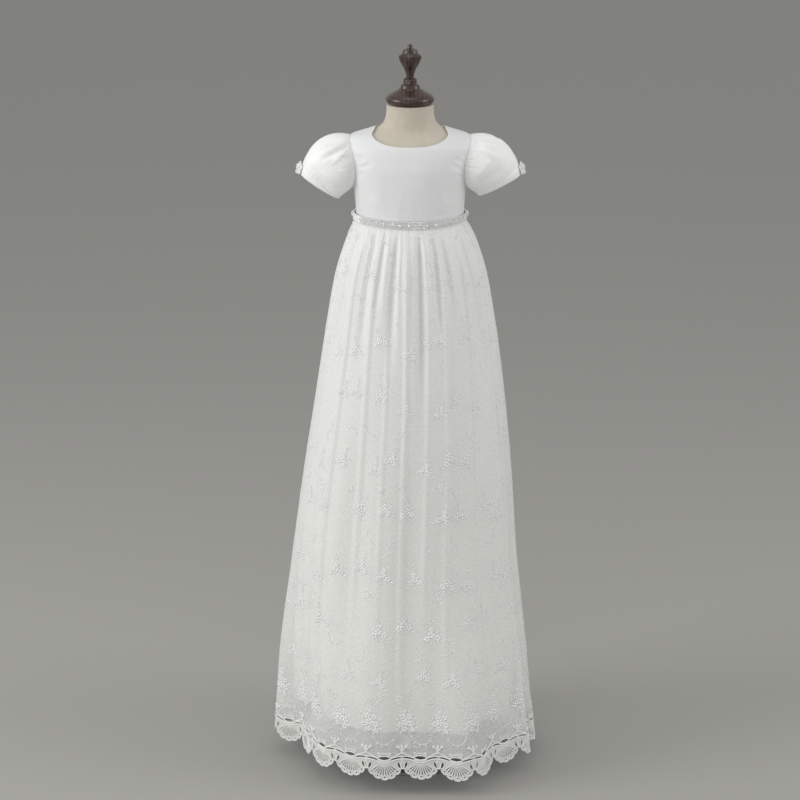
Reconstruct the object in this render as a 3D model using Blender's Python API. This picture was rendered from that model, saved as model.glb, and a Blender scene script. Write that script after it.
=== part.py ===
# A child's christening gown on a limbless dress form: a net skirt over a satin under-skirt, a plain satin bodice,
# short puffed sleeves, a beaded belt and a scalloped lace hem. Metres, +Z up, the gown's front towards -Y, left and
# right as seen from the front, the origin at the middle of the stand's underside.
import math
from bisect import bisect_right
from collections import namedtuple

import bmesh
import bpy
from mathutils import Vector
from mathutils.geometry import delaunay_2d_cdt

# Driving heights and cloth
WAIST_HEIGHT = 0.8767
GOWN_BOTTOM_DROP = 0.850
SEAM_GAP = 0.0003
ARMHOLE_GAP = 0.0008
SATIN = 0.0013
NET = 0.0010
EASE = 0.0015

# Dress form
Section = namedtuple("Section", "height half_width half_depth squareness")
TORSO = [
    Section(0.640, 0.0700, 0.0560, 2.0),
    Section(0.648, 0.0765, 0.0630, 2.0),
    Section(0.690, 0.0820, 0.0680, 2.0),
    Section(0.760, 0.0840, 0.0700, 2.0),
    Section(0.830, 0.0810, 0.0680, 2.0),
    Section(WAIST_HEIGHT, 0.0785, 0.0650, 2.0),
    Section(0.920, 0.0815, 0.0650, 2.1),
    Section(0.952, 0.0865, 0.0640, 2.2),
    Section(0.972, 0.0905, 0.0600, 2.2),
    Section(0.986, 0.0925, 0.0550, 2.2),
    Section(0.9935, 0.0920, 0.0505, 2.0),
    Section(0.9985, 0.0875, 0.0465, 2.0),
    Section(1.0020, 0.0780, 0.0435, 2.0),
    Section(1.0055, 0.0655, 0.0410, 2.0),
    Section(1.0090, 0.0545, 0.0385, 2.0),
    Section(1.0135, 0.0455, 0.0365, 2.0),
    Section(1.0220, 0.0385, 0.0355, 2.0),
    Section(1.0345, 0.0355, 0.0350, 2.0),
    Section(1.0470, 0.0350, 0.0350, 2.0),
]
TORSO_COLUMNS = 28

# Turned neck cap: radius and height up the profile
Turn = namedtuple("Turn", "radius height")
CAP_TURNS = 20
CAP = [
    Turn(0.0290, 1.0473),
    Turn(0.0345, 1.0500),
    Turn(0.0362, 1.0555),
    Turn(0.0335, 1.0605),
    Turn(0.0240, 1.0660),
    Turn(0.0155, 1.0710),
    Turn(0.0134, 1.0760),
    Turn(0.0100, 1.0780),
    Turn(0.0098, 1.0845),
    Turn(0.0055, 1.0880),
    Turn(0.0075, 1.0965),
    Turn(0.0128, 1.1065),
    Turn(0.0165, 1.1150),
    Turn(0.0170, 1.1195),
    Turn(0.0118, 1.1235),
    Turn(0.0102, 1.1285),
    Turn(0.0045, 1.1305),
    Turn(0.0032, 1.1365),
]

# Stand
BASE_RADIUS = 0.105
BASE_HEIGHT = 0.010
POLE_RADIUS = 0.0125
BASE = [
    Turn(BASE_RADIUS - 0.0015, 0.0),
    Turn(BASE_RADIUS, 0.0020),
    Turn(BASE_RADIUS, BASE_HEIGHT - 0.0030),
    Turn(BASE_RADIUS - 0.0060, BASE_HEIGHT),
    Turn(0.0220, BASE_HEIGHT),
    Turn(0.0180, 0.0320),
]

# Bodice
ARMPIT_HEIGHT = 0.9225
SHOULDER_HEIGHT = 0.9980
ARMHOLE_REACH = 21.0
ARMHOLE_STEPS = 12
ROWS_BELOW_ARMPIT = 3
ROWS_UP_SHOULDER = 4
NECK_SIDE_HEIGHT = 1.0105
FRONT_NECK_HEIGHT = 0.9905
BACK_NECK_HEIGHT = 1.0000
FRONT_COLUMNS = 16
BACK_COLUMNS = 9

# Sleeves: the tip and the lower corner of each cuff as seen from the front
Cuff = namedtuple("Cuff", "side tip_x tip_height corner_x corner_height")
CUFFS = {
    "left": Cuff(-1, 0.1640, 0.9410, 0.1068, 0.9040),
    "right": Cuff(1, 0.1660, 0.9405, 0.1030, 0.9085),
}
CUFF_HALF_DEPTH = 0.0210
SLEEVE_RINGS = 6
SLEEVE_COLUMNS = 2 * ARMHOLE_STEPS
CROWN_LEAVES = (0.0330, 0.0080)
CROWN_ARRIVES = (-0.0050, 0.0440)
UNDERARM_LEAVES = (0.0060, -0.0050)
UNDERARM_ARRIVES = (-0.0060, 0.0060)
PUFF_DEPTH = (0.0190, 0.0150)
CROWN_PLEATS = 7
CROWN_PLEAT_DEPTH = 0.0014
FLOWER_RADIUS = 0.0105
FLOWER_THICKNESS = 0.0024
FLOWER_PETALS = 5
FLOWER_ABOVE_TIP = 0.0085
FLOWER_STANDS_OFF = 0.0019

# Belt: a band with a row of large set stones
BELT_BELOW = 0.0040
BELT_ABOVE = 0.0066
BELT_THICKNESS = 0.0016
STONE_RISE = 0.0012
STONES = 40

# Skirt: its outline on the outermost folds, by the drop below the waist
Hang = namedtuple("Hang", "drop half_width half_depth lean under_skirt_inset")
SKIRT = [
    Hang(0.000, 0.0815, 0.0685, 0.000, 0.0013),
    Hang(0.005, 0.0830, 0.0700, 0.000, 0.0016),
    Hang(0.013, 0.0885, 0.0750, 0.001, 0.0040),
    Hang(0.040, 0.1003, 0.0860, 0.002, 0.0085),
    Hang(0.090, 0.1155, 0.0965, 0.002, 0.0095),
    Hang(0.160, 0.1278, 0.1065, 0.002, 0.0095),
    Hang(0.260, 0.1425, 0.1200, 0.001, 0.0095),
    Hang(0.400, 0.1606, 0.1365, -0.003, 0.0105),
    Hang(0.550, 0.1766, 0.1510, -0.008, 0.0140),
    Hang(0.700, 0.1950, 0.1640, -0.010, 0.0210),
    Hang(0.800, 0.2035, 0.1715, -0.009, 0.0290),
    Hang(0.860, 0.2090, 0.1760, -0.007, 0.0330),
]
NET_COLUMNS = 112
NET_DROPS = [0.0, 0.007, 0.022, 0.055, 0.115, 0.210, 0.340, 0.500, 0.660, 0.800]
UNDER_SKIRT_COLUMNS = 44
UNDER_SKIRT_DROPS = [0.0, 0.013, 0.045, 0.120, 0.300, 0.520, 0.700, 0.785]

# Folds: angle from the front, half width in degrees, depth inwards, and the drops where each starts, is full and has
# died out. A negative depth is a ridge. The gathers are in the net alone, the long folds in the under-skirt too.
Fold = namedtuple("Fold", "angle spread depth start full fading end")
FRONT_GATHERS = [
    Fold(-76, 7.0, 0.0040, 0.004, 0.040, 0.10, 0.26),
    Fold(-60, 6.5, 0.0045, 0.004, 0.045, 0.12, 0.30),
    Fold(-36, 6.0, 0.0045, 0.004, 0.040, 0.10, 0.26),
    Fold(-25, 4.6, 0.0036, 0.004, 0.035, 0.06, 0.15),
    Fold(-14, 5.2, 0.0050, 0.004, 0.040, 0.10, 0.24),
    Fold(7, 5.6, 0.0062, 0.004, 0.045, 0.14, 0.34),
    Fold(20, 5.0, 0.0046, 0.004, 0.040, 0.08, 0.20),
    Fold(29, 4.6, 0.0040, 0.004, 0.035, 0.06, 0.17),
    Fold(54, 6.5, 0.0050, 0.004, 0.045, 0.14, 0.34),
    Fold(68, 6.0, 0.0042, 0.004, 0.040, 0.10, 0.24),
    Fold(81, 5.5, 0.0040, 0.004, 0.040, 0.10, 0.24),
]
FRONT_LONG_FOLDS = [
    Fold(-76, 12.0, 0.0160, 0.45, 0.84, 1.20, 2.00),
    Fold(-62, 29.0, 0.0280, 0.42, 0.84, 1.20, 2.00),
    Fold(-40, 15.0, 0.0080, 0.42, 0.84, 1.20, 2.00),
    Fold(-66, 13.0, 0.0060, 0.20, 0.45, 1.20, 2.00),
    Fold(-28, 14.0, 0.0060, 0.22, 0.50, 1.20, 2.00),
    Fold(2, 12.0, 0.0050, 0.24, 0.50, 1.20, 2.00),
    Fold(27, 15.0, -0.0230, 0.45, 0.84, 1.20, 2.00),
    Fold(49, 11.0, 0.0050, 0.20, 0.60, 1.20, 2.00),
    Fold(65, 9.0, -0.0070, 0.50, 0.84, 1.20, 2.00),
    Fold(76, 8.0, 0.0120, 0.30, 0.84, 1.20, 2.00),
]


def with_back(folds):
    """The folds of the front, and like ones turned round to the back."""
    return folds + [fold._replace(angle=180 - 0.96 * fold.angle) for fold in folds]


GATHERS = with_back(FRONT_GATHERS)
LONG_FOLDS = with_back(FRONT_LONG_FOLDS)

# Hem border: one repeat of the lace, in metres across and down from the top of the border
BORDER_HEIGHT = 0.050
BORDER_JOIN_ANGLE = -87.1
REPEATS_A_SIDE = 11
FAN_CENTRE_DOWN = 0.020
FAN_RADIUS = 0.0300
FAN_NOTCH_RADIUS = 0.0275
FAN_LOBES = 5
FAN_LOBE_ANGLE = 25.0
JUNCTION_DOWN = 0.0335
OVAL = {"across": 0.0088, "down": 0.0030, "centre": 0.0155, "points": 7}
SIDE_GAP = {"across": 0.0060, "down": 0.0023, "x": 0.0222, "centre": 0.0262, "tilt": 66.0, "points": 6}
BORDER_COLUMNS_A_REPEAT = 4

COLOURS = {
    "satin": (0.86, 0.87, 0.87, 0.42),
    "net": (0.90, 0.91, 0.91, 0.75),
    "lace": (0.93, 0.93, 0.93, 0.70),
    "beads": (0.82, 0.84, 0.86, 0.20),
    "jersey": (0.62, 0.58, 0.52, 0.85),
    "walnut": (0.09, 0.04, 0.025, 0.35),
    "steel": (0.55, 0.55, 0.56, 0.30),
}
METALS = ("steel",)


def clear_scene():
    for old in list(bpy.data.objects):
        bpy.data.objects.remove(old)


def material(name):
    found = bpy.data.materials.get(name)
    if found:
        return found
    made = bpy.data.materials.new(name)
    made.use_nodes = True
    red, green, blue, roughness = COLOURS[name]
    shader = made.node_tree.nodes["Principled BSDF"]
    shader.inputs["Base Color"].default_value = (red, green, blue, 1.0)
    shader.inputs["Roughness"].default_value = roughness
    shader.inputs["Metallic"].default_value = 1.0 if name in METALS else 0.0
    return made


def add_piece(name, points, faces, finish):
    """One closed piece, its faces turned outwards and its broad faces shaded smooth."""
    mesh = bpy.data.meshes.new(name)
    mesh.from_pydata([tuple(point) for point in points], [], faces)
    shape = bmesh.new()
    shape.from_mesh(mesh)
    bmesh.ops.recalc_face_normals(shape, faces=shape.faces[:])
    if shape.calc_volume(signed=True) < 0:
        bmesh.ops.reverse_faces(shape, faces=shape.faces[:])
    shape.to_mesh(mesh)
    shape.free()
    mesh.shade_smooth()
    mesh.set_sharp_from_angle(angle=math.radians(50))
    mesh.materials.append(material(finish))
    piece = bpy.data.objects.new(name, mesh)
    bpy.context.scene.collection.objects.link(piece)
    return piece


def read_column(rows, key, column, place):
    """A column's value between two rows, on a smooth curve through all of them."""
    places = [getattr(row, key) for row in rows]
    values = [getattr(row, column) for row in rows]
    if place <= places[0]:
        return values[0]
    if place >= places[-1]:
        return values[-1]
    i = bisect_right(places, place) - 1
    span = places[i + 1] - places[i]
    rise = (values[i + 1] - values[i]) / span
    before = (values[i] - values[i - 1]) / (places[i] - places[i - 1]) if i else rise
    after = (values[i + 2] - values[i + 1]) / (places[i + 2] - places[i + 1]) if i + 2 < len(rows) else rise
    slope_in = gentle_slope(before, rise)
    slope_out = gentle_slope(rise, after)
    s = (place - places[i]) / span
    bend_in = slope_in * span * s * (1 - s) ** 2
    bend_out = slope_out * span * s * s * (1 - s)
    ease = s * s * (3 - 2 * s)
    return values[i] + (values[i + 1] - values[i]) * ease + bend_in - bend_out


def gentle_slope(first, second):
    """The slope at a row that keeps the curve from overshooting it."""
    if first * second <= 0:
        return 0.0
    return 2 * first * second / (first + second)


def smooth_step(start, end, place):
    s = min(1.0, max(0.0, (place - start) / (end - start)))
    return s * s * (3 - 2 * s)


def moved_out(surface, u, v, out, step):
    """A point of surface(u, v) moved out along its normal, where u runs to the right and v upwards."""
    point = surface(u, v)
    if out == 0.0:
        return point
    across = surface(u + step[0], v) - surface(u - step[0], v)
    up = surface(u, v + step[1]) - surface(u, v - step[1])
    return point + across.cross(up).normalized() * out


def torso_surface(angle, height):
    """The dress form's skin at an angle from the front, in degrees, and a height."""
    a = read_column(TORSO, "height", "half_width", height)
    b = read_column(TORSO, "height", "half_depth", height)
    n = read_column(TORSO, "height", "squareness", height)
    t = math.radians(angle)
    reach = (abs(math.sin(t) / a) ** n + abs(math.cos(t) / b) ** n) ** (-1 / n)
    return Vector((reach * math.sin(t), -reach * math.cos(t), height))


def on_torso(angle, height, out):
    return moved_out(torso_surface, angle, height, out, (0.5, 0.0004))


def fold_depth(folds, angle, drop):
    """How far the cloth lies in from its outline, from all the folds that reach this place."""
    depth = 0.0
    for fold in folds:
        away = abs((angle - fold.angle + 180) % 360 - 180) / fold.spread
        if away < 1:
            wave = 0.5 + 0.5 * math.cos(math.pi * away)
            length = smooth_step(fold.start, fold.full, drop) * (1 - smooth_step(fold.fading, fold.end, drop))
            depth += fold.depth * wave * length
    return depth


def hanging_surface(angle, drop, inset):
    """A point of the skirt's outline, moved in level by an inset."""
    a = read_column(SKIRT, "drop", "half_width", drop) - inset
    b = read_column(SKIRT, "drop", "half_depth", drop) - inset
    lean = read_column(SKIRT, "drop", "lean", drop)
    t = math.radians(angle)
    return Vector((a * math.sin(t) + lean, -b * math.cos(t), WAIST_HEIGHT - drop))


def net_surface(angle, drop):
    return hanging_surface(angle, drop, fold_depth(GATHERS + LONG_FOLDS, angle, drop))


def under_skirt_surface(angle, drop):
    inset = read_column(SKIRT, "drop", "under_skirt_inset", drop)
    return hanging_surface(angle, drop, inset + fold_depth(LONG_FOLDS, angle, drop))


def on_hanging(surface, angle, drop, out):
    return moved_out(surface, angle, drop, -out, (0.4, 0.0010))


def walled(name, outer, inner, closed, finish):
    """A cloth wall between two like grids of points, rows first. A closed wall joins its last column to its first."""
    rows, columns = len(outer), len(outer[0])
    points = [point for grid in (outer, inner) for row in grid for point in row]

    def at(side, row, column):
        return side * rows * columns + row * columns + column % columns

    faces = []
    for row in range(rows - 1):
        for column in range(columns if closed else columns - 1):
            for side in (0, 1):
                corners = [(row, column), (row, column + 1), (row + 1, column + 1), (row + 1, column)]
                face = [at(side, *corner) for corner in corners]
                # Both faces split along the same diagonal, so the wall keeps its thickness where it twists
                faces.append(face if side == 0 else [face[0], face[3], face[2], face[1]])
    for row in (0, rows - 1):
        for column in range(columns if closed else columns - 1):
            faces.append([at(0, row, column), at(1, row, column), at(1, row, column + 1), at(0, row, column + 1)])
    if not closed:
        for column in (0, columns - 1):
            for row in range(rows - 1):
                faces.append([at(0, row, column), at(0, row + 1, column), at(1, row + 1, column), at(1, row, column)])
    return add_piece(name, points, faces, finish)


def turned(name, profile, turns, finish):
    """A solid turned on the Z axis, from a profile that runs upwards, closed by flat discs at its ends."""
    points = []
    for turn in profile:
        for i in range(turns):
            t = 2 * math.pi * i / turns
            points.append((turn.radius * math.cos(t), turn.radius * math.sin(t), turn.height))
    return add_piece(name, points, stacked_faces(len(profile), turns), finish)


def stacked_faces(rings, columns):
    faces = []
    for ring in range(rings - 1):
        for i in range(columns):
            j = (i + 1) % columns
            low, high = ring * columns, (ring + 1) * columns
            faces.append([low + i, low + j, high + j, high + i])
    faces.append(list(range(columns))[::-1])
    faces.append([(rings - 1) * columns + i for i in range(columns)])
    return faces


def build_form():
    points = []
    for section in TORSO:
        for i in range(TORSO_COLUMNS):
            points.append(torso_surface(360 * i / TORSO_COLUMNS, section.height))
    add_piece("form_torso", points, stacked_faces(len(TORSO), TORSO_COLUMNS), "jersey")
    turned("form_cap", CAP, CAP_TURNS, "walnut")
    turned("form_base", BASE, 40, "steel")
    pole = [Turn(POLE_RADIUS, BASE[-1].height + SEAM_GAP), Turn(POLE_RADIUS, TORSO[0].height - SEAM_GAP)]
    turned("form_pole", pole, 16, "steel")


def neck_height(angle, centre_height):
    """The neckline's height: low at the centre front or back, highest at the neck's side."""
    return centre_height + (NECK_SIDE_HEIGHT - centre_height) * math.sin(math.radians(angle)) ** 4


def armhole(step):
    """Angle in from the side seam and height of an armhole's edge, from the armpit, step 0, up to the shoulder."""
    turn = math.pi * step / ARMHOLE_STEPS
    middle = (SHOULDER_HEIGHT + ARMPIT_HEIGHT) / 2
    half = (SHOULDER_HEIGHT - ARMPIT_HEIGHT) / 2
    return ARMHOLE_REACH * math.sin(turn), middle - half * math.cos(turn)


def side_edge():
    """Rows of a bodice panel at its side: angle in from the seam, height. Side seam, armhole, shoulder seam."""
    bottom = WAIST_HEIGHT + SEAM_GAP
    rows = []
    for i in range(ROWS_BELOW_ARMPIT):
        rows.append((0.0, bottom + (ARMPIT_HEIGHT - bottom) * i / ROWS_BELOW_ARMPIT))
    for step in range(ARMHOLE_STEPS + 1):
        rows.append(armhole(step))
    for i in range(1, ROWS_UP_SHOULDER + 1):
        rows.append((0.0, SHOULDER_HEIGHT + (NECK_SIDE_HEIGHT - SHOULDER_HEIGHT) * i / ROWS_UP_SHOULDER))
    return rows


def bodice_panel(name, centre_height, columns, angle_at):
    """A panel from the waist to the neckline. angle_at(edge angle, u) spreads the columns, u from 0 to 1."""
    seam_angle = math.degrees(SEAM_GAP / 2 / TORSO[5].half_width)
    bottom = WAIST_HEIGHT + SEAM_GAP
    grids = []
    for out in (EASE + SATIN, EASE):
        grid = []
        for inwards, edge_height in side_edge():
            edge = 90 - max(inwards, seam_angle)
            share = (edge_height - bottom) / (neck_height(edge, centre_height) - bottom)
            row = []
            for i in range(columns + 1):
                angle = angle_at(edge, i / columns, seam_angle)
                height = bottom + (neck_height(angle, centre_height) - bottom) * share
                row.append(on_torso(angle, height, out))
            grid.append(row)
        grids.append(grid)
    walled(name, grids[0], grids[1], False, "satin")


def build_bodice():
    bodice_panel("bodice_front", FRONT_NECK_HEIGHT, FRONT_COLUMNS, lambda edge, u, seam: edge * (2 * u - 1))
    bodice_panel(
        "bodice_back_right", BACK_NECK_HEIGHT, BACK_COLUMNS,
        lambda edge, u, seam: (180 - edge) + (edge - seam) * u,
    )
    bodice_panel(
        "bodice_back_left", BACK_NECK_HEIGHT, BACK_COLUMNS,
        lambda edge, u, seam: (180 + seam) + (edge - seam) * u,
    )


def sleeve_point(cuff, turn, along):
    """A point of a sleeve's outer face. turn is 0 at the crown and grows to the front, along runs to the cuff."""
    middle = (SHOULDER_HEIGHT + ARMPIT_HEIGHT) / 2
    half = (SHOULDER_HEIGHT - ARMPIT_HEIGHT) / 2
    angle = 90 - ARMHOLE_REACH * math.sin(turn)
    start = on_torso(angle, middle + half * math.cos(turn), EASE + SATIN + ARMHOLE_GAP)
    centre = Vector(((cuff.tip_x + cuff.corner_x) / 2, 0, (cuff.tip_height + cuff.corner_height) / 2))
    to_tip = Vector((cuff.tip_x, 0, cuff.tip_height)) - centre
    end = centre + to_tip * math.cos(turn) + Vector((0, -CUFF_HALF_DEPTH * math.sin(turn), 0))
    crown = 0.5 + 0.5 * math.cos(turn)
    leave = [low + (high - low) * crown for low, high in zip(UNDERARM_LEAVES, CROWN_LEAVES)]
    arrive = [low + (high - low) * crown for low, high in zip(UNDERARM_ARRIVES, CROWN_ARRIVES)]
    first = start + Vector((leave[0], -PUFF_DEPTH[0] * math.sin(turn), leave[1]))
    last = end + Vector((arrive[0], -PUFF_DEPTH[1] * math.sin(turn), arrive[1]))
    rest = 1 - along
    point = (
        start * rest**3 + first * 3 * along * rest**2 + last * 3 * along**2 * rest + end * along**3
    )
    pleats = math.cos(CROWN_PLEATS * turn) * crown**2 * math.sin(math.pi * min(1.0, 1.4 * along))
    outwards = (end - centre).normalized()
    point += outwards * CROWN_PLEAT_DEPTH * pleats
    return Vector((cuff.side * point.x, point.y, point.z))


def grid_normal(grid, row, column):
    rows, columns = len(grid), len(grid[0])
    across = grid[row][(column + 1) % columns] - grid[row][column - 1]
    along = grid[min(row + 1, rows - 1)][column] - grid[max(row - 1, 0)][column]
    return across.cross(along).normalized()


def build_sleeve(name, cuff):
    outer = []
    for ring in range(SLEEVE_RINGS + 1):
        along = ring / SLEEVE_RINGS
        turns = [2 * math.pi * i / SLEEVE_COLUMNS for i in range(SLEEVE_COLUMNS)]
        outer.append([sleeve_point(cuff, turn, along) for turn in turns])
    inner = []
    for row in range(len(outer)):
        inner.append([
            outer[row][column] + grid_normal(outer, row, column) * SATIN * cuff.side
            for column in range(SLEEVE_COLUMNS)
        ])
    walled(name, outer, inner, True, "satin")


def build_cuff_flower(name, cuff):
    """A flat lace flower with round petals, standing on the outer tip of the cuff and turned a little forwards."""
    facing = Vector((cuff.side * 0.86, -0.42, 0.28)).normalized()
    across = Vector((0, 0, 1)).cross(facing).normalized()
    up = facing.cross(across)
    tip = Vector((cuff.side * cuff.tip_x, 0, cuff.tip_height + FLOWER_ABOVE_TIP))
    centre = tip + facing * FLOWER_STANDS_OFF
    rim = 4 * FLOWER_PETALS
    points = []
    for lift in (0.0, FLOWER_THICKNESS):
        for i in range(rim):
            turn = 2 * math.pi * i / rim
            reach = FLOWER_RADIUS * (0.80 + 0.20 * math.cos(FLOWER_PETALS * turn))
            flat = across * math.sin(turn) + up * math.cos(turn)
            points.append(centre + flat * reach + facing * lift)
    sides = [[i, (i + 1) % rim, rim + (i + 1) % rim, rim + i] for i in range(rim)]
    ends = [list(range(rim))[::-1], [rim + i for i in range(rim)]]
    add_piece(name, points, sides + ends, "lace")


def build_sleeves():
    for side, cuff in CUFFS.items():
        build_sleeve("sleeve_" + side, cuff)
        build_cuff_flower("cuff_flower_" + side, cuff)


def build_belt():
    """A ring round the waist, its face raised over each stone."""
    widest = next(row for row in SKIRT if row.drop == 0.005)
    clear = SEAM_GAP + 0.0001
    columns = 2 * STONES
    rings = []
    for height, out in ((-BELT_BELOW, 0), (-BELT_BELOW, 1), (0.0012, 2), (BELT_ABOVE, 1), (BELT_ABOVE, 0)):
        ring = []
        for i in range(columns):
            t = 2 * math.pi * i / columns
            rise = clear + BELT_THICKNESS * min(out, 1)
            if out == 2 and i % 2:
                rise += STONE_RISE
            a, b = widest.half_width + rise, widest.half_depth + rise
            ring.append(Vector((a * math.sin(t), -b * math.cos(t), WAIST_HEIGHT + height)))
        rings.append(ring)
    points = [point for ring in rings for point in ring]
    faces = []
    for r in range(len(rings)):
        s = (r + 1) % len(rings)
        for i in range(columns):
            j = (i + 1) % columns
            faces.append([r * columns + i, r * columns + j, s * columns + j, s * columns + i])
    add_piece("belt", points, faces, "beads")


def hanging_panel(name, surface, drops, columns, first, thickness, finish):
    """Half of a skirt layer, 180 degrees from the angle first, with its side seams left a gap wide."""
    widest = SKIRT[-1].half_width
    seam = math.degrees(SEAM_GAP / widest)
    grids = []
    for out in (0.0, -thickness):
        grid = []
        for drop in reversed(drops):
            angles = [first + seam + (180 - 2 * seam) * i / columns for i in range(columns + 1)]
            grid.append([on_hanging(surface, angle, drop, out) for angle in angles])
        grids.append(grid)
    walled(name, grids[0], grids[1], False, finish)


def build_skirt():
    for half, first in (("front", -90), ("back", 90)):
        hanging_panel("skirt_net_" + half, net_surface, NET_DROPS, NET_COLUMNS // 2, first, NET, "net")
        hanging_panel(
            "under_skirt_" + half, under_skirt_surface, UNDER_SKIRT_DROPS, UNDER_SKIRT_COLUMNS // 2, first, NET, "satin"
        )


def hem_angles(first, count=360):
    """Angles along half a hem with the length of cloth up to each, so that the lace's repeats are even."""
    drop = GOWN_BOTTOM_DROP - BORDER_HEIGHT / 2
    angles = [first + 180 * i / count for i in range(count + 1)]
    lengths = [0.0]
    for before, after in zip(angles, angles[1:]):
        lengths.append(lengths[-1] + (net_surface(after, drop) - net_surface(before, drop)).length)
    return angles, lengths


def angle_at_length(angles, lengths, length):
    i = min(bisect_right(lengths, length), len(lengths) - 1)
    share = (length - lengths[i - 1]) / (lengths[i] - lengths[i - 1])
    return angles[i - 1] + (angles[i] - angles[i - 1]) * share


def ring_of_points(centre_x, centre_down, across, down, tilt, count):
    """An oval hole in the flat lace, turned by tilt degrees."""
    turn = math.radians(tilt)
    ring = []
    for i in range(count):
        t = 2 * math.pi * i / count
        x, y = across * math.cos(t), down * math.sin(t)
        ring.append((
            centre_x + x * math.cos(turn) - y * math.sin(turn),
            centre_down + x * math.sin(turn) + y * math.cos(turn),
        ))
    return ring


def border_outline(width):
    """The flat border's outline, round from its top left corner: scalloped fans below, straight above."""
    outline = []
    for repeat in range(REPEATS_A_SIDE):
        middle = (repeat + 0.5) * width
        outline.append((repeat * width, JUNCTION_DOWN))
        for half_lobe in range(1, 2 * FAN_LOBES):
            angle = math.radians((half_lobe - FAN_LOBES) * FAN_LOBE_ANGLE / 2)
            reach = FAN_RADIUS if half_lobe % 2 else FAN_NOTCH_RADIUS
            outline.append((middle + reach * math.sin(angle), FAN_CENTRE_DOWN + reach * math.cos(angle)))
    outline.append((REPEATS_A_SIDE * width, JUNCTION_DOWN))
    columns = REPEATS_A_SIDE * BORDER_COLUMNS_A_REPEAT
    for i in range(columns, -1, -1):
        outline.append((i * width / BORDER_COLUMNS_A_REPEAT, 0.0))
    return outline


def border_holes(width):
    holes = []
    for repeat in range(REPEATS_A_SIDE):
        middle = (repeat + 0.5) * width
        holes.append(ring_of_points(middle, OVAL["centre"], OVAL["across"], OVAL["down"], 0, OVAL["points"]))
        for side in (-1, 1):
            gap = SIDE_GAP
            holes.append(ring_of_points(
                middle + side * gap["x"], gap["centre"], gap["across"], gap["down"], side * gap["tilt"], gap["points"],
            ))
    return holes


def inside(place, ring):
    """Whether a flat place lies inside a closed ring of points."""
    found = False
    for (x0, y0), (x1, y1) in zip(ring, ring[1:] + ring[:1]):
        if (y0 > place[1]) != (y1 > place[1]):
            if place[0] < x0 + (x1 - x0) * (place[1] - y0) / (y1 - y0):
                found = not found
    return found


def flat_border(width):
    """Points and triangles of the flat border, with its gaps left open."""
    outline, holes = border_outline(width), border_holes(width)
    spare = []
    for repeat in range(REPEATS_A_SIDE):
        for across, down in ((0.0, 0.010), (0.25, 0.010), (0.5, 0.006), (0.75, 0.010), (0.5, 0.038)):
            if repeat or across:
                spare.append(((repeat + across) * width, down))
        if repeat:
            spare.append((repeat * width, 0.022))
    points = list(outline)
    edges = [(i, (i + 1) % len(outline)) for i in range(len(outline))]
    for ring in holes:
        first = len(points)
        points += ring
        edges += [(first + i, first + (i + 1) % len(ring)) for i in range(len(ring))]
    points += spare
    made = delaunay_2d_cdt([Vector(point) for point in points], edges, [], 0, 1e-7)
    flat, triangles = made[0], made[2]
    kept = []
    for triangle in triangles:
        middle = sum((flat[i] for i in triangle), Vector((0, 0))) / len(triangle)
        if inside(middle, outline) and not any(inside(middle, ring) for ring in holes):
            kept.append(list(triangle))
    return flat, kept


def build_hem_border(name, first):
    """Half of the hem's lace: the flat border laid on the net's own surface, below the net's edge."""
    angles, lengths = hem_angles(first)
    ease = SEAM_GAP / 2
    width = (lengths[-1] - 2 * ease) / REPEATS_A_SIDE
    flat, triangles = flat_border(width)
    top = GOWN_BOTTOM_DROP - BORDER_HEIGHT + SEAM_GAP
    points = []
    for out in (0.0, -NET):
        for place in flat:
            angle = angle_at_length(angles, lengths, place.x + ease)
            points.append(on_hanging(net_surface, angle, top + place.y, out))
    count = len(flat)
    faces = []
    edge_uses = {}
    for triangle in triangles:
        faces.append(triangle)
        faces.append([count + i for i in reversed(triangle)])
        for a, b in zip(triangle, triangle[1:] + triangle[:1]):
            edge_uses.setdefault(frozenset((a, b)), []).append((a, b))
    for uses in edge_uses.values():
        if len(uses) == 1:
            a, b = uses[0]
            faces.append([b, a, count + a, count + b])
    add_piece(name, points, faces, "lace")


def main():
    clear_scene()
    build_form()
    build_bodice()
    build_sleeves()
    build_belt()
    build_skirt()
    build_hem_border("hem_border_front", BORDER_JOIN_ANGLE)
    build_hem_border("hem_border_back", BORDER_JOIN_ANGLE + 180)


main()
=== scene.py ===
import math
import random

import bpy
import numpy as np
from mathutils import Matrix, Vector
from mathutils.geometry import delaunay_2d_cdt


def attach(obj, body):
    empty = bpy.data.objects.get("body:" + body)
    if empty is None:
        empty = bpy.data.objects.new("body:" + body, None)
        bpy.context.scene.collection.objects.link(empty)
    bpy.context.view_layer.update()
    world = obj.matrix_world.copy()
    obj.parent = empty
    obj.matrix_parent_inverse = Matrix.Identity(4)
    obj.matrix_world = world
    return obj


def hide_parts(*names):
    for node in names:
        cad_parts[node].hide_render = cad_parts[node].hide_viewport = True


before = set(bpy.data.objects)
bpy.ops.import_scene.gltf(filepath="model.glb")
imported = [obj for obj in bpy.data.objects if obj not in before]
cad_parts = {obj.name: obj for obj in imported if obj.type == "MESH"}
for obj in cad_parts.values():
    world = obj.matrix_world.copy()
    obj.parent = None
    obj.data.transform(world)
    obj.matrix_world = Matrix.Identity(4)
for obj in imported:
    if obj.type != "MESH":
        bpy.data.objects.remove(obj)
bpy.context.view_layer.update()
bpy.ops.object.select_all(action="DESELECT")
print("frame loaded")

mm = 0.001


# Colours and material nodes

def hexColor(code):
    channels = [int(code[i:i + 2], 16) / 255 for i in (1, 3, 5)]
    linear = [c / 12.92 if c <= 0.04045 else ((c + 0.055) / 1.055) ** 2.4 for c in channels]
    return (*linear, 1.0)


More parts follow.
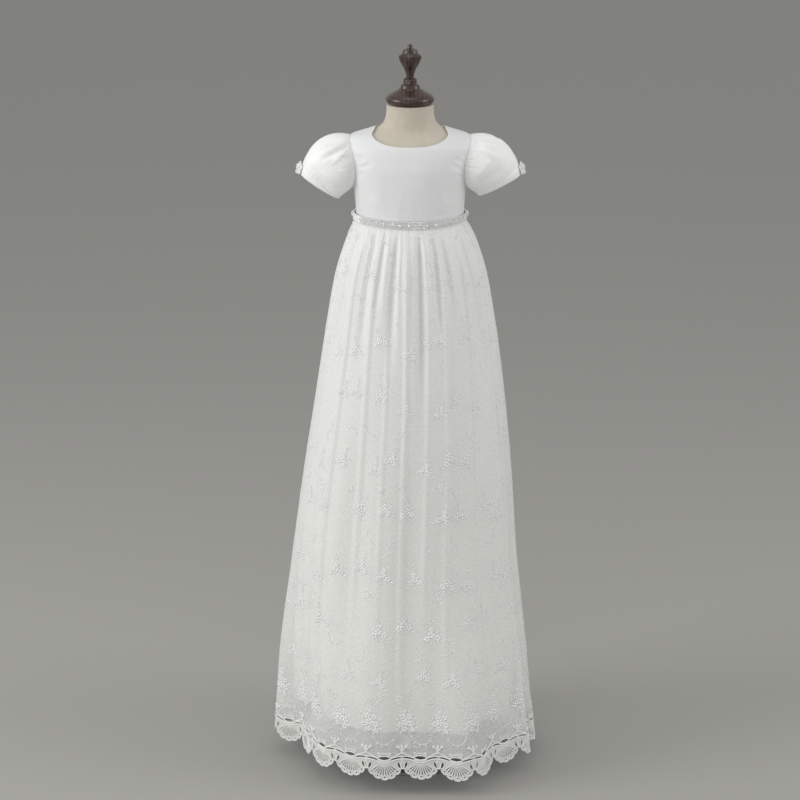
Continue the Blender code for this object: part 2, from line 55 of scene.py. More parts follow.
def newMaterial(name, color, roughness, **sockets):
    made = bpy.data.materials.new(name)
    made.use_nodes = True
    shader = made.node_tree.nodes["Principled BSDF"]
    shader.inputs["Base Color"].default_value = hexColor(color)
    shader.inputs["Roughness"].default_value = roughness
    for socket, value in sockets.items():
        shader.inputs[socket.replace("_", " ")].default_value = value
    return made, shader


def addNode(made, kind, settings=None, inputs=None):
    node = made.node_tree.nodes.new("ShaderNode" + kind)
    for key, value in (settings or {}).items():
        setattr(node, key, value)
    for key, value in (inputs or {}).items():
        if isinstance(value, tuple) and isinstance(value[0], bpy.types.Node):
            made.node_tree.links.new(value[0].outputs[value[1]], node.inputs[key])
        else:
            node.inputs[key].default_value = value
    return node


def wire(made, node, output, shader, socket):
    made.node_tree.links.new(node.outputs[output], shader.inputs[socket])


def bandScale(period):
    # a Wave texture's bands repeat every 2 pi / (20 x scale)
    return 2 * math.pi / (20 * period)


def spread(made, source, output, low, high, fromLow=0.0, fromHigh=1.0):
    return addNode(made, "MapRange", None, {
        "Value": (source, output), "From Min": fromLow, "From Max": fromHigh, "To Min": low, "To Max": high,
    })


def colorMix(made, source, output, darker, lighter):
    return addNode(made, "Mix", {"data_type": "RGBA"}, {
        0: (source, output), 6: hexColor(darker), 7: hexColor(lighter),
    })


def bumped(made, shader, height, output, strength, distance):
    bump = addNode(made, "Bump", None, {"Strength": strength, "Distance": distance, "Height": (height, output)})
    wire(made, bump, "Normal", shader, "Normal")


def satinCloth(name, color, shade, roughness, sheen):
    # Polyester duchess satin, woven: long floats give a soft sheen along the threads.
    # Threads are 0.15 mm apart in the real cloth, drawn here every 1.1 mm so that they show.
    made, shader = newMaterial(name, color, roughness, Sheen_Weight=sheen, Sheen_Roughness=0.4, Specular_IOR_Level=0.42)
    place = addNode(made, "TexCoord")
    warp = addNode(made, "TexWave", {"bands_direction": "DIAGONAL"}, {
        "Vector": (place, "UV"), "Scale": bandScale(1.1 * mm), "Distortion": 0.6, "Detail Scale": 1.5,
    })
    slub = addNode(made, "TexNoise", None, {"Vector": (place, "UV"), "Scale": 1 / (9 * mm), "Detail": 3.0})
    patches = addNode(made, "TexNoise", None, {"Vector": (place, "UV"), "Scale": 1 / (45 * mm), "Detail": 2.0})
    tone = colorMix(made, patches, "Fac", shade, color)
    wire(made, tone, 2, shader, "Base Color")
    rough = spread(made, slub, "Fac", roughness - 0.07, roughness + 0.08, 0.3, 0.7)
    wire(made, rough, "Result", shader, "Roughness")
    both = addNode(made, "Math", {"operation": "MULTIPLY_ADD"}, {0: (warp, "Fac"), 1: 0.25, 2: (slub, "Fac")})
    bumped(made, shader, both, "Value", 0.16, 0.35 * mm)
    return made


def tulleCloth(name, hole, thread, closer):
    # Nylon tulle, warp-knitted: fine threads round small holes, so it hazes what lies behind it.
    # The mesh is 1.4 mm in the real net and is drawn at 2 mm so that it shows.
    made, shader = newMaterial(name, "#fdfdfb", 0.75, Specular_IOR_Level=0.25, Sheen_Weight=0.15)
    place = addNode(made, "TexCoord")
    cells = addNode(made, "TexVoronoi", {"feature": "DISTANCE_TO_EDGE"}, {
        "Vector": (place, "UV"), "Scale": 1 / (2.0 * mm), "Randomness": 1.0,
    })
    cover = spread(made, cells, "Distance", thread, hole, 0.06, 0.20)
    # the gathered net lies closer towards the waist, 0.8 m up, and lets less through
    split = addNode(made, "SeparateXYZ", None, {"Vector": (place, "UV")})
    gathered = spread(made, split, "Y", 0.0, closer, 0.10, 0.80)
    whole = addNode(made, "Math", {"operation": "ADD", "use_clamp": True}, {
        0: (cover, "Result"), 1: (gathered, "Result"),
    })
    wire(made, whole, "Value", shader, "Alpha")
    return made


def threadWork(name, color, shade, roughness, stitch):
    # Rayon embroidery thread in satin stitch: bright, with fine ribs where the stitches lie side by side. The grooves
    # between the ribs are painted darker, as painted shade.
    made, shader = newMaterial(name, color, roughness, Sheen_Weight=0.3, Specular_IOR_Level=0.5)
    place = addNode(made, "TexCoord")
    ribs = addNode(made, "TexWave", {"bands_direction": "DIAGONAL"}, {
        "Vector": (place, "Object"), "Scale": bandScale(stitch), "Distortion": 2.0,
    })
    # painted shade: the colour darkens where the ribs' bump sinks
    tone = colorMix(made, ribs, "Fac", shade, color)
    wire(made, tone, 2, shader, "Base Color")
    bumped(made, shader, ribs, "Fac", 0.35, 0.25 * mm)
    return made


finishes = {
    # The bodice's satin is painted a little darker and the sleeves' copy of the same satin lighter: painted shade and
    # painted light on one cloth.
    "satin": satinCloth("polyesterSatin", "#ececed", "#e4e5e7", 0.48, 0.22),
    "sleeveSatinPaintedLighter": satinCloth("sleeveSatinPaintedLighter", "#fcfcfb", "#f6f6f6", 0.50, 0.26),
    "lining": satinCloth("liningSatin", "#fbfbf9", "#f6f6f3", 0.50, 0.12),
    "tulle": tulleCloth("nylonTulle", 0.29, 0.45, 0.37),
    "rayon": threadWork("rayonEmbroidery", "#ffffff", "#f6f6f6", 0.34, 0.5 * mm),
    "cord": threadWork("cottonGuipureCord", "#fbfbfa", "#ecebe8", 0.62, 0.7 * mm),
}


def guipureGround():
    # Cotton guipure ground: dense matte stitching with a rough, thready face; its dips between the threads are painted
    # darker, as painted shade.
    made, shader = newMaterial("cottonGuipure", "#eeeeec", 0.8, Sheen_Weight=0.2, Specular_IOR_Level=0.3)
    place = addNode(made, "TexCoord")
    threads = addNode(made, "TexNoise", None, {"Vector": (place, "UV"), "Scale": 1 / (1.2 * mm), "Detail": 2.0})
    # painted shade: darker where the threads' bump sinks
    tone = colorMix(made, threads, "Fac", "#cbcbc8", "#e9e9e6")
    wire(made, tone, 2, shader, "Base Color")
    bumped(made, shader, threads, "Fac", 0.5, 0.4 * mm)
    return made


def cottonJersey():
    # Cotton jersey, weft-knitted and stretched on the form: matte, with fine vertical wales drawn every 1.3 mm.
    made, shader = newMaterial("cottonJersey", "#c9c0b0", 0.9, Sheen_Weight=0.35, Specular_IOR_Level=0.25)
    place = addNode(made, "TexCoord")
    wales = addNode(made, "TexWave", {"bands_direction": "X"}, {
        "Vector": (place, "UV"), "Scale": bandScale(1.3 * mm), "Distortion": 0.8, "Detail Scale": 3.0,
    })
    fluff = addNode(made, "TexNoise", None, {"Vector": (place, "UV"), "Scale": 1 / (14 * mm), "Detail": 4.0})
    tone = colorMix(made, fluff, "Fac", "#c2b8a7", "#d2cabc")
    wire(made, tone, 2, shader, "Base Color")
    bumped(made, shader, wales, "Fac", 0.4, 0.3 * mm)
    return made


def turnedWalnut():
    # Walnut turned on a lathe and varnished: dark straight grain under a satin gloss coat.
    made, shader = newMaterial("turnedWalnut", "#2c1a12", 0.42, Coat_Weight=0.6, Coat_Roughness=0.18)
    place = addNode(made, "TexCoord")
    tall = addNode(made, "Mapping", None, {"Vector": (place, "Object"), "Scale": (1.0, 1.0, 0.18)})
    rings = addNode(made, "TexWave", {"wave_type": "BANDS", "bands_direction": "X"}, {
        "Vector": (tall, "Vector"), "Scale": bandScale(6 * mm), "Distortion": 5.0, "Detail": 3.0, "Detail Scale": 2.0,
    })
    pores = addNode(made, "TexNoise", None, {"Vector": (tall, "Vector"), "Scale": 1 / (1.2 * mm), "Detail": 2.0})
    grain = addNode(made, "Math", {"operation": "MULTIPLY"}, {0: (rings, "Fac"), 1: (pores, "Fac")})
    tone = colorMix(made, grain, "Value", "#1d100b", "#5a3520")
    wire(made, tone, 2, shader, "Base Color")
    rough = spread(made, pores, "Fac", 0.34, 0.52)
    wire(made, rough, "Result", shader, "Roughness")
    bumped(made, shader, pores, "Fac", 0.12, 0.2 * mm)
    return made


def brushedSteel():
    # Stainless tube, brushed along its length.
    made, shader = newMaterial("brushedStainlessSteel", "#b9babb", 0.34, Metallic=1.0)
    place = addNode(made, "TexCoord")
    drawn = addNode(made, "Mapping", None, {"Vector": (place, "Object"), "Scale": (1.0, 1.0, 0.02)})
    lines = addNode(made, "TexNoise", None, {"Vector": (drawn, "Vector"), "Scale": 1 / (0.6 * mm), "Detail": 2.0})
    rough = spread(made, lines, "Fac", 0.24, 0.46, 0.3, 0.7)
    wire(made, rough, "Result", shader, "Roughness")
    bumped(made, shader, lines, "Fac", 0.15, 0.05 * mm)
    return made


def glassPearl():
    # Glass pearl: a nacre-like lacquer over glass, softly glossy.
    made, shader = newMaterial(
        "glassPearl", "#efece6", 0.24, Coat_Weight=0.7, Coat_Roughness=0.08, Specular_IOR_Level=0.6,
    )
    place = addNode(made, "TexCoord")
    bloom = addNode(made, "TexNoise", None, {"Vector": (place, "Object"), "Scale": 1 / (2.5 * mm)})
    tone = colorMix(made, bloom, "Fac", "#dcd9d4", "#faf8f4")
    wire(made, tone, 2, shader, "Base Color")
    return made


def foiledCrystal():
    # Foil-backed crystal: the facets send light back like small mirrors.
    made, shader = newMaterial("foilBackedCrystal", "#f4f5f6", 0.12, Metallic=0.30, Coat_Weight=1.0, Coat_Roughness=0.03)
    place = addNode(made, "TexCoord")
    # painted sparkle: bright and darker flecks painted into the colour stand in for glints off the facets
    paintedSparkle = addNode(made, "TexNoise", None, {"Vector": (place, "Object"), "Scale": 1 / (1.5 * mm)})
    tone = colorMix(made, paintedSparkle, "Fac", "#e2e5e8", "#ffffff")
    wire(made, tone, 2, shader, "Base Color")
    return made


finishes.update(
    guipure=guipureGround(), jersey=cottonJersey(), walnut=turnedWalnut(), steel=brushedSteel(),
    pearl=glassPearl(), crystal=foiledCrystal(),
)
print("materials made")


# Camera, floor and lights

studio = {
    "cameraPlace": (-0.015, -3.9, 1.778), "cameraPitch": 17.0, "lens": 119.1,
    "floorSize": 30.0, "floorColor": "#a6a5a1", "worldColor": "#cfcfcd", "worldStrength": 0.80,
    # name, place, aimed at, width, height, watts
    "softboxes": [
        ("softboxLeft", (-2.5, -0.9, 1.62), (0, 0, 0.70), 1.4, 1.9, 37),
        ("softboxRight", (2.5, -0.6, 1.70), (0, 0, 0.75), 1.2, 1.8, 21),
        ("softboxTop", (-0.2, -0.4, 3.2), (0, 0, 0.8), 1.6, 1.6, 7),
        ("softboxLow", (-0.9, -3.3, 0.55), (0, 0, 0.60), 2.0, 0.8, 12),
    ],
}


def buildStudio():
    bpy.ops.object.camera_add(location=studio["cameraPlace"], rotation=(math.radians(90 - studio["cameraPitch"]), 0, 0))
    camera = bpy.context.object
    camera.name = "photoCamera"
    camera.data.lens = studio["lens"]
    camera.data.sensor_width = 36.0
    camera.data.clip_end = 60.0
    bpy.context.scene.camera = camera
    bpy.ops.mesh.primitive_plane_add(size=studio["floorSize"])
    floor = bpy.context.object
    floor.name = "studioFloor"
    paint, shader = newMaterial("mattePaintedFloor", studio["floorColor"], 0.75)
    grain = addNode(paint, "TexNoise", None, {"Scale": 1.5, "Detail": 3.0})
    tone = colorMix(paint, grain, "Fac", studio["floorColor"], "#aaa9a5")
    wire(paint, tone, 2, shader, "Base Color")
    floor.data.materials.append(paint)
    world = bpy.data.worlds.new("studioSurround")
    world.use_nodes = True
    surround = world.node_tree.nodes["Background"]
    surround.inputs["Color"].default_value = hexColor(studio["worldColor"])
    surround.inputs["Strength"].default_value = studio["worldStrength"]
    bpy.context.scene.world = world
    for name, place, aim, width, height, watts in studio["softboxes"]:
        bpy.ops.object.light_add(type="AREA", location=place)
        lamp = bpy.context.object
        lamp.name = name
        lamp.rotation_euler = (Vector(aim) - Vector(place)).to_track_quat("-Z", "Y").to_euler()
        lamp.data.shape = "RECTANGLE"
        lamp.data.size, lamp.data.size_y = width, height
        lamp.data.energy = watts
    bpy.context.scene.view_settings.view_transform = "Standard"
    bpy.ops.object.select_all(action="DESELECT")


buildStudio()
print("studio built")


# Surfaces that the cloth follows

def smoothTable(places, values, at):
    # a smooth curve through a table's rows that doesn't overshoot them
    places, values = np.array(places, float), np.array(values, float)
    at = np.clip(at, places[0], places[-1])
    i = np.clip(np.searchsorted(places, at, side="right") - 1, 0, len(places) - 2)
    span = np.diff(places)
    rise = np.diff(values) / span
    total = rise[:-1] + rise[1:]
    gentle = np.where(rise[:-1] * rise[1:] > 0, 2 * rise[:-1] * rise[1:] / np.where(total == 0, 1, total), 0)
    slope = np.concatenate([rise[:1], gentle, rise[-1:]])
    s = (at - places[i]) / span[i]
    ease = s * s * (3 - 2 * s)
    bends = slope[i] * s * (1 - s) ** 2 - slope[i + 1] * s * s * (1 - s)
    return values[i] + (values[i + 1] - values[i]) * ease + bends * span[i]


def smoothStep(start, end, place):
    s = np.clip((place - start) / (end - start), 0, 1)
    return s * s * (3 - 2 * s)


def movedOut(surface, u, v, out, step=(0.4, 0.001), downwards=False):
    point = surface(u, v)
    across = surface(u + step[0], v) - surface(u - step[0], v)
    upwards = surface(u, v + step[1]) - surface(u, v - step[1])
    if downwards:
        upwards = -upwards
    normal = np.cross(across, upwards)
    normal /= np.maximum(np.linalg.norm(normal, axis=-1, keepdims=True), 1e-12)
    return point + normal * np.asarray(out)[..., None], normal


form = {
    # height, half width, half depth, squareness
    "sections": [
        (0.640, 0.0700, 0.0560, 2.0), (0.648, 0.0765, 0.0630, 2.0), (0.690, 0.0820, 0.0680, 2.0),
        (0.760, 0.0840, 0.0700, 2.0), (0.830, 0.0810, 0.0680, 2.0), (0.8767, 0.0785, 0.0650, 2.0),
        (0.920, 0.0815, 0.0650, 2.1), (0.952, 0.0865, 0.0640, 2.2), (0.972, 0.0905, 0.0600, 2.2),
        (0.986, 0.0925, 0.0550, 2.2), (0.9935, 0.0920, 0.0505, 2.0), (0.9985, 0.0875, 0.0465, 2.0),
        (1.0020, 0.0780, 0.0435, 2.0), (1.0055, 0.0655, 0.0410, 2.0), (1.0090, 0.0545, 0.0385, 2.0),
        (1.0135, 0.0455, 0.0365, 2.0), (1.0220, 0.0385, 0.0355, 2.0), (1.0345, 0.0355, 0.0350, 2.0),
        (1.0470, 0.0350, 0.0350, 2.0),
    ],
    "rows": 84, "columns": 72, "usualRadius": 0.06,
    "shoulderRows": (0.985, 1.03, 40),  # closer rows over the shoulders' turn
}


def torsoSurface(angle, height):
    angle, height = np.broadcast_arrays(np.asarray(angle, float), np.asarray(height, float))
    heights, widths, depths, squares = zip(*form["sections"])
    a = smoothTable(heights, widths, height)
    b = smoothTable(heights, depths, height)
    n = smoothTable(heights, squares, height)
    t = np.radians(angle)
    reach = (np.abs(np.sin(t) / a) ** n + np.abs(np.cos(t) / b) ** n) ** (-1 / n)
    return np.stack([reach * np.sin(t), -reach * np.cos(t), height], axis=-1)


def onTorso(angle, height, out):
    return movedOut(torsoSurface, angle, height, out, (0.5, 0.0004))


gown = {"waist": 0.8767, "ease": 1.5 * mm, "satin": 1.3 * mm, "net": 0.5 * mm, "seam": 0.3 * mm}

skirt = {
    # drop below the waist, half width, half depth, lean, how far the under-skirt lies in
    "hang": [
        (0.000, 0.0815, 0.0685, 0.000, 0.0013), (0.005, 0.0830, 0.0700, 0.000, 0.0016),
        (0.013, 0.0885, 0.0750, 0.001, 0.0040), (0.040, 0.1003, 0.0860, 0.002, 0.0085),
        (0.090, 0.1155, 0.0965, 0.002, 0.0095), (0.160, 0.1278, 0.1065, 0.002, 0.0095),
        (0.260, 0.1425, 0.1200, 0.001, 0.0095), (0.400, 0.1606, 0.1365, -0.003, 0.0105),
        (0.550, 0.1766, 0.1510, -0.008, 0.0140), (0.700, 0.1950, 0.1640, -0.010, 0.0210),
        (0.800, 0.2035, 0.1715, -0.009, 0.0290), (0.860, 0.2090, 0.1760, -0.007, 0.0330),
    ],
    # angle, spread, depth, and the drops where the fold starts, is full, fades and ends
    "gathers": [
        (-76, 7.0, 0.0040, 0.004, 0.040, 0.10, 0.26), (-60, 6.5, 0.0045, 0.004, 0.045, 0.12, 0.30),
        (-36, 6.0, 0.0045, 0.004, 0.040, 0.10, 0.26), (-25, 4.6, 0.0036, 0.004, 0.035, 0.06, 0.15),
        (-14, 5.2, 0.0050, 0.004, 0.040, 0.10, 0.24), (7, 5.6, 0.0062, 0.004, 0.045, 0.14, 0.34),
        (20, 5.0, 0.0046, 0.004, 0.040, 0.08, 0.20), (29, 4.6, 0.0040, 0.004, 0.035, 0.06, 0.17),
        (54, 6.5, 0.0050, 0.004, 0.045, 0.14, 0.34), (68, 6.0, 0.0042, 0.004, 0.040, 0.10, 0.24),
        (81, 5.5, 0.0040, 0.004, 0.040, 0.10, 0.24),
    ],
    "longFolds": [
        (-76, 12.0, 0.0160, 0.45, 0.84, 1.20, 2.00),
        (-62, 29.0, 0.0280, 0.42, 0.84, 1.20, 2.00), (-40, 15.0, 0.0080, 0.42, 0.84, 1.20, 2.00),
        (-66, 13.0, 0.0060, 0.20, 0.45, 1.20, 2.00), (-28, 14.0, 0.0060, 0.22, 0.50, 1.20, 2.00),
        (2, 12.0, 0.0050, 0.24, 0.50, 1.20, 2.00), (27, 15.0, -0.0230, 0.45, 0.84, 1.20, 2.00),
        (49, 11.0, 0.0050, 0.20, 0.60, 1.20, 2.00), (65, 9.0, -0.0070, 0.50, 0.84, 1.20, 2.00),
        (76, 8.0, 0.0120, 0.30, 0.84, 1.20, 2.00),
    ],
    # angle at the waist and at the hem, spread, height, and the drops as above
    "ridges": [
        (-47, -50, 3.2, 0.0028, 0.01, 0.05, 0.62, 0.79), (46, 36, 3.0, 0.0028, 0.01, 0.06, 0.60, 0.79),
        (-4, -1, 2.6, 0.0024, 0.02, 0.08, 0.62, 0.79), (25, 18, 2.6, 0.0022, 0.02, 0.08, 0.55, 0.78),
        (-30, -26, 3.0, 0.0018, 0.05, 0.12, 0.50, 0.70), (62, 60, 3.0, 0.0020, 0.04, 0.10, 0.50, 0.75),
        (-68, -70, 3.0, 0.0020, 0.04, 0.10, 0.50, 0.75), (11, 9, 2.4, 0.0014, 0.10, 0.20, 0.45, 0.70),
        (-17, -12, 2.4, 0.0013, 0.12, 0.22, 0.48, 0.72),
    ],
    "gatherScale": 1.1, "tinyGathers": 64, "columns": 240, "liningColumns": 120,
    "netBottom": 0.800, "liningBottom": 0.785,
}


def withBack(folds):
    return folds + [(180 - 0.96 * fold[0], *fold[1:]) for fold in folds]


def tinyGathers():
    # small uneven pleats under the belt, all round
    draw = random.Random(11)
    pleats = []
    for i in range(skirt["tinyGathers"]):
        at = -180 + 360 * (i + draw.uniform(0.1, 0.9)) / skirt["tinyGathers"]
        pleats.append((
            at, draw.uniform(1.6, 2.9), draw.uniform(0.7, 1.7) * mm, 0.002, draw.uniform(0.012, 0.022),
            draw.uniform(0.04, 0.08), draw.uniform(0.11, 0.24),
        ))
    return pleats


gathers = [(fold[0], fold[1], skirt["gatherScale"] * fold[2], *fold[3:]) for fold in withBack(skirt["gathers"])]
ridges = skirt["ridges"] + [(180 - 0.96 * row[0], 180 - 0.96 * row[1], *row[2:]) for row in skirt["ridges"]]
longFolds = withBack(skirt["longFolds"])
pleats = tinyGathers()


def foldDepth(folds, angle, drop):
    angle, drop = np.broadcast_arrays(angle, drop)
    depth = np.zeros(angle.shape)
    for at, width, deep, start, full, fading, end in folds:
        away = np.abs((angle - at + 180) % 360 - 180) / width
        near = (away < 1) & (drop > start) & (drop < end)
        wave = 0.5 + 0.5 * np.cos(np.pi * away[near])
        depth[near] += deep * wave * smoothStep(start, full, drop[near]) * (1 - smoothStep(fading, end, drop[near]))
    return depth


def ridgeHeight(angle, drop):
    height = np.zeros(np.broadcast(angle, drop).shape)
    for top, bottom, width, high, start, full, fading, end in ridges:
        at = top + (bottom - top) * drop / skirt["netBottom"]
        away = np.minimum(np.abs((angle - at + 180) % 360 - 180) / width, 1)
        wave = 0.5 + 0.5 * np.cos(np.pi * away)
        height += high * wave * smoothStep(start, full, drop) * (1 - smoothStep(fading, end, drop))
    return height


def hangingSurface(angle, drop, inset):
    drops, widths, depths, leans, insets = zip(*skirt["hang"])
    a = smoothTable(drops, widths, drop) - inset
    b = smoothTable(drops, depths, drop) - inset
    t = np.radians(angle)
    x, y = a * np.sin(t) + smoothTable(drops, leans, drop), -b * np.cos(t)
    return np.stack(np.broadcast_arrays(x, y, gown["waist"] - drop), axis=-1)


def netSurface(angle, drop):
    return hangingSurface(angle, drop, foldDepth(gathers + longFolds + pleats, angle, drop) - ridgeHeight(angle, drop))


def liningSurface(angle, drop):
    drops, widths, depths, leans, insets = zip(*skirt["hang"])
    inset = smoothTable(drops, insets, drop) + foldDepth(longFolds, angle, drop) - 0.6 * ridgeHeight(angle, drop)
    # the satin's own hem is turned up and stands a little proud
    inset = inset - 0.5 * mm * smoothStep(skirt["liningBottom"] - 0.0135, skirt["liningBottom"] - 0.0120, drop)
    return hangingSurface(angle, drop, inset)


def creased(points, normals, creases, front=True):
    # soft ridges (depth above 0) and troughs laid along lines seen from the front: x, z to x, z, width, depth
    side = points[..., 1] < 0.004 if front else points[..., 1] > -0.004
    lift = np.zeros(points.shape[:-1])
    for x0, z0, x1, z1, width, depth in creases:
        line = np.array([x1 - x0, z1 - z0])
        length = np.linalg.norm(line)
        toX, toZ = points[..., 0] - x0, points[..., 2] - z0
        along = (toX * line[0] + toZ * line[1]) / length**2
        away = (toX * line[1] - toZ * line[0]) / length
        ends = np.sin(np.pi * np.clip(along, 0, 1)) ** 0.7
        lift += depth * ends * np.exp(-(away / width) ** 2)
    return points + normals * (lift * side)[..., None]


# Cloth pieces

def selectOnly(piece):
    bpy.ops.object.select_all(action="DESELECT")
    piece.select_set(True)
    bpy.context.view_layer.objects.active = piece


def applyAll(piece):
    selectOnly(piece)
    for modifier in list(piece.modifiers):
        bpy.ops.object.modifier_apply(modifier=modifier.name)


def lengthsAlong(grid, axis):
    steps = np.linalg.norm(np.diff(grid, axis=axis), axis=-1)
    zero = np.zeros_like(np.take(steps, [0], axis=axis))
    return np.concatenate([zero, np.cumsum(steps, axis=axis)], axis=axis)


def layUv(layer, mesh, flat):
    # gives each corner of the mesh its point's place on the flat cloth
    corner = np.empty(len(mesh.loops), np.int32)
    mesh.loops.foreach_get("vertex_index", corner)
    layer.data.foreach_set("uv", flat.reshape(-1, 2)[corner].ravel())


def gridPiece(name, grid, flat):
    rows, columns = grid.shape[:2]
    bpy.ops.mesh.primitive_grid_add(x_subdivisions=columns - 1, y_subdivisions=rows - 1, size=1)
    piece = bpy.context.object
    piece.name = name
    layUv(piece.data.uv_layers.active, piece.data, flat)
    piece.data.vertices.foreach_set("co", grid.reshape(-1, 3).ravel())
    piece.data.update()
    return piece


def clothSheet(name, grid, thickness, finish, closed=False, rim=0.0):
    # rows run upwards and columns to the right, as seen from outside; the grid is the cloth's outer face
    rows, columns = grid.shape[:2]
    across = lengthsAlong(grid, 1)[rows // 2]
    upwards = lengthsAlong(grid, 0)[:, [columns // 2]]
    flat = np.stack([np.broadcast_to(across, (rows, columns)), np.broadcast_to(upwards, (rows, columns))], -1)
    piece = gridPiece(name, grid, flat)
    if closed:
        selectOnly(piece)
        bpy.ops.object.mode_set(mode="EDIT")
        bpy.ops.mesh.select_all(action="SELECT")
        bpy.ops.mesh.remove_doubles(threshold=1e-6)
        bpy.ops.object.mode_set(mode="OBJECT")
    piece.data.materials.append(finishes[finish])
    wall = piece.modifiers.new("clothThickness", "SOLIDIFY")
    wall.thickness = thickness
    wall.offset = -1.0
    if rim:
        edge = piece.modifiers.new("softEdge", "BEVEL")
        edge.width = rim
        edge.segments = 2
        edge.limit_method = "ANGLE"
        edge.angle_limit = math.radians(60)
    applyAll(piece)
    selectOnly(piece)
    bpy.ops.object.shade_smooth_by_angle(angle=math.radians(50))
    return piece


def finishPiece(piece, slotName, *replaced):
    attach(piece, "root")
    if replaced:
        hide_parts(*replaced)
    piece.select_set(False)
    return piece


# Shapes that are made flat once and laid on the cloth many times

def readMesh(piece):
    mesh = piece.data
    points = np.empty(len(mesh.vertices) * 3)
    mesh.vertices.foreach_get("co", points)
    return points.reshape(-1, 3), [tuple(p.vertices) for p in mesh.polygons]


def joinedMesh(pieces):
    # joins flat shapes into one, reads it and clears it away
    bpy.ops.object.select_all(action="DESELECT")
    for piece in pieces:
        piece.select_set(True)
    bpy.context.view_layer.objects.active = pieces[0]
    if len(pieces) > 1:
        bpy.ops.object.join()
    points, faces = readMesh(pieces[0])
    mesh = pieces[0].data
    bpy.data.objects.remove(pieces[0])
    bpy.data.meshes.remove(mesh)
    return points, faces


def meshPiece(name, points, faces, finish):
    mesh = bpy.data.meshes.new(name)
    mesh.from_pydata(points.tolist(), [], faces)
    mesh.update()
    mesh.materials.append(finishes[finish])
    piece = bpy.data.objects.new(name, mesh)
    bpy.context.scene.collection.objects.link(piece)
    return piece


def softPad(place, length, width, height, turn, root=0.0):
    # a satin-stitched petal or leaf: a low rounded pad whose root lies at its place
    bpy.ops.mesh.primitive_uv_sphere_add(segments=6, ring_count=3, radius=1.0)
    pad = bpy.context.object
    pad.scale = (length / 2, width / 2, height)
    pad.rotation_euler = (0, 0, turn)
    reach = length / 2 + root
    pad.location = (place[0] + reach * math.cos(turn), place[1] + reach * math.sin(turn), height * 0.35)
    bpy.ops.object.transform_apply(location=True, rotation=True, scale=True)
    return pad


def roundCord(points, radius, sides, ring):
    # a round cord along points in space, closed where it is a ring and capped where it isn't
    bpy.ops.curve.primitive_nurbs_path_add()
    cord = bpy.context.object
    cord.data.splines.clear()
    line = cord.data.splines.new("POLY")
    line.points.add(len(points) - 1)
    for point, place in zip(line.points, points):
        point.co = (*place, 1)
    line.use_cyclic_u = ring
    cord.data.bevel_depth = radius
    cord.data.bevel_resolution = sides
    cord.data.use_fill_caps = not ring
    bpy.ops.object.convert(target="MESH")
    return bpy.context.object


def flatCord(points, radius, flatness=0.8, sides=0, ring=False, lift=0.0):
    # a thread or cord laid along flat points, its own height squashed a little
    cord = roundCord([(x, y, 0) for x, y in points], radius, sides, ring)
    cord.scale = (1, 1, flatness)
    cord.location = (0, 0, radius * flatness * 0.6 + lift)
    bpy.ops.object.transform_apply(location=True, rotation=True, scale=True)
    return cord


def smoothLine(points, steps=6):
    # a smooth line through a few points
    out = []
    for i in range(len(points) - 1):
        p0, p1 = points[max(i - 1, 0)], points[i]
        p2, p3 = points[i + 1], points[min(i + 2, len(points) - 1)]
        for k in range(steps):
            t = k / steps
            out.append(tuple(
                0.5 * (2 * b + (c - a) * t + (2 * a - 5 * b + 4 * c - d) * t**2 + (3 * b - a - 3 * c + d) * t**3)
                for a, b, c, d in zip(p0, p1, p2, p3)
            ))
    return out + [points[-1]]


def laidCopies(name, motifs, placements, cloth, finish, lift=0.0, readAt=None):
    # motifs are flat meshes (x right, y up, z out); a placement is motif, angle, drop, turn, scale
    points, faces, count = [], [], 0
    for motif, angle, drop, turn, scale in placements:
        flat, motifFaces = motifs[motif]
        t = math.radians(turn)
        x, y = flat[:, 0] * scale, flat[:, 1] * abs(scale)
        across = x * math.cos(t) - y * math.sin(t)
        upwards = x * math.sin(t) + y * math.cos(t)
        points.append(cloth.place(angle, drop, across, upwards, flat[:, 2] * abs(scale) + lift, readAt))
        # a mirrored copy has its faces turned back
        order = 1 if scale > 0 else -1
        faces += [tuple(i + count for i in face[::order]) for face in motifFaces]
        count += len(flat)
    piece = meshPiece(name, np.concatenate(points), faces, finish)
    piece.data.shade_smooth()
    return piece


class LaidCloth:
    # a cloth surface read once on a fine grid, so that shapes can be laid on it quickly

    def __init__(self, surface, top, bottom):
        self.angles = np.linspace(-200, 300, 2001)
        self.drops = np.linspace(top, bottom, 420)
        drop, angle = np.meshgrid(self.drops, self.angles, indexing="ij")
        self.points, self.normals = movedOut(surface, angle, drop, np.zeros(angle.shape), downwards=True)
        self.lengths = lengthsAlong(self.points, 1)

    def row(self, drop):
        return int(np.clip(round((drop - self.drops[0]) / (self.drops[1] - self.drops[0])), 0, len(self.drops) - 1))

    def lengthAt(self, angle, drop):
        return np.interp(angle, self.angles, self.lengths[self.row(drop)])

    def angleAt(self, length, drop):
        return np.interp(length, self.lengths[self.row(drop)], self.angles)

    def place(self, angle, drop, across, upwards, out, readAt=None):
        atDrop = drop if readAt is None else readAt
        angles = self.angleAt(self.lengthAt(angle, atDrop) + across, atDrop)
        return self.at(angles, drop - upwards, out)

    def at(self, angles, drops, out):
        u = np.clip((angles - self.angles[0]) / (self.angles[1] - self.angles[0]), 0, len(self.angles) - 1.001)
        v = np.clip((drops - self.drops[0]) / (self.drops[1] - self.drops[0]), 0, len(self.drops) - 1.001)
        i, j = v.astype(int), u.astype(int)
        fi, fj = (v - i)[:, None], (u - j)[:, None]

        def blend(table):
            low = table[i, j] * (1 - fj) + table[i, j + 1] * fj
            high = table[i + 1, j] * (1 - fj) + table[i + 1, j + 1] * fj
            return low * (1 - fi) + high * fi

        return blend(self.points) + blend(self.normals) * np.asarray(out)[:, None]


# Dress form

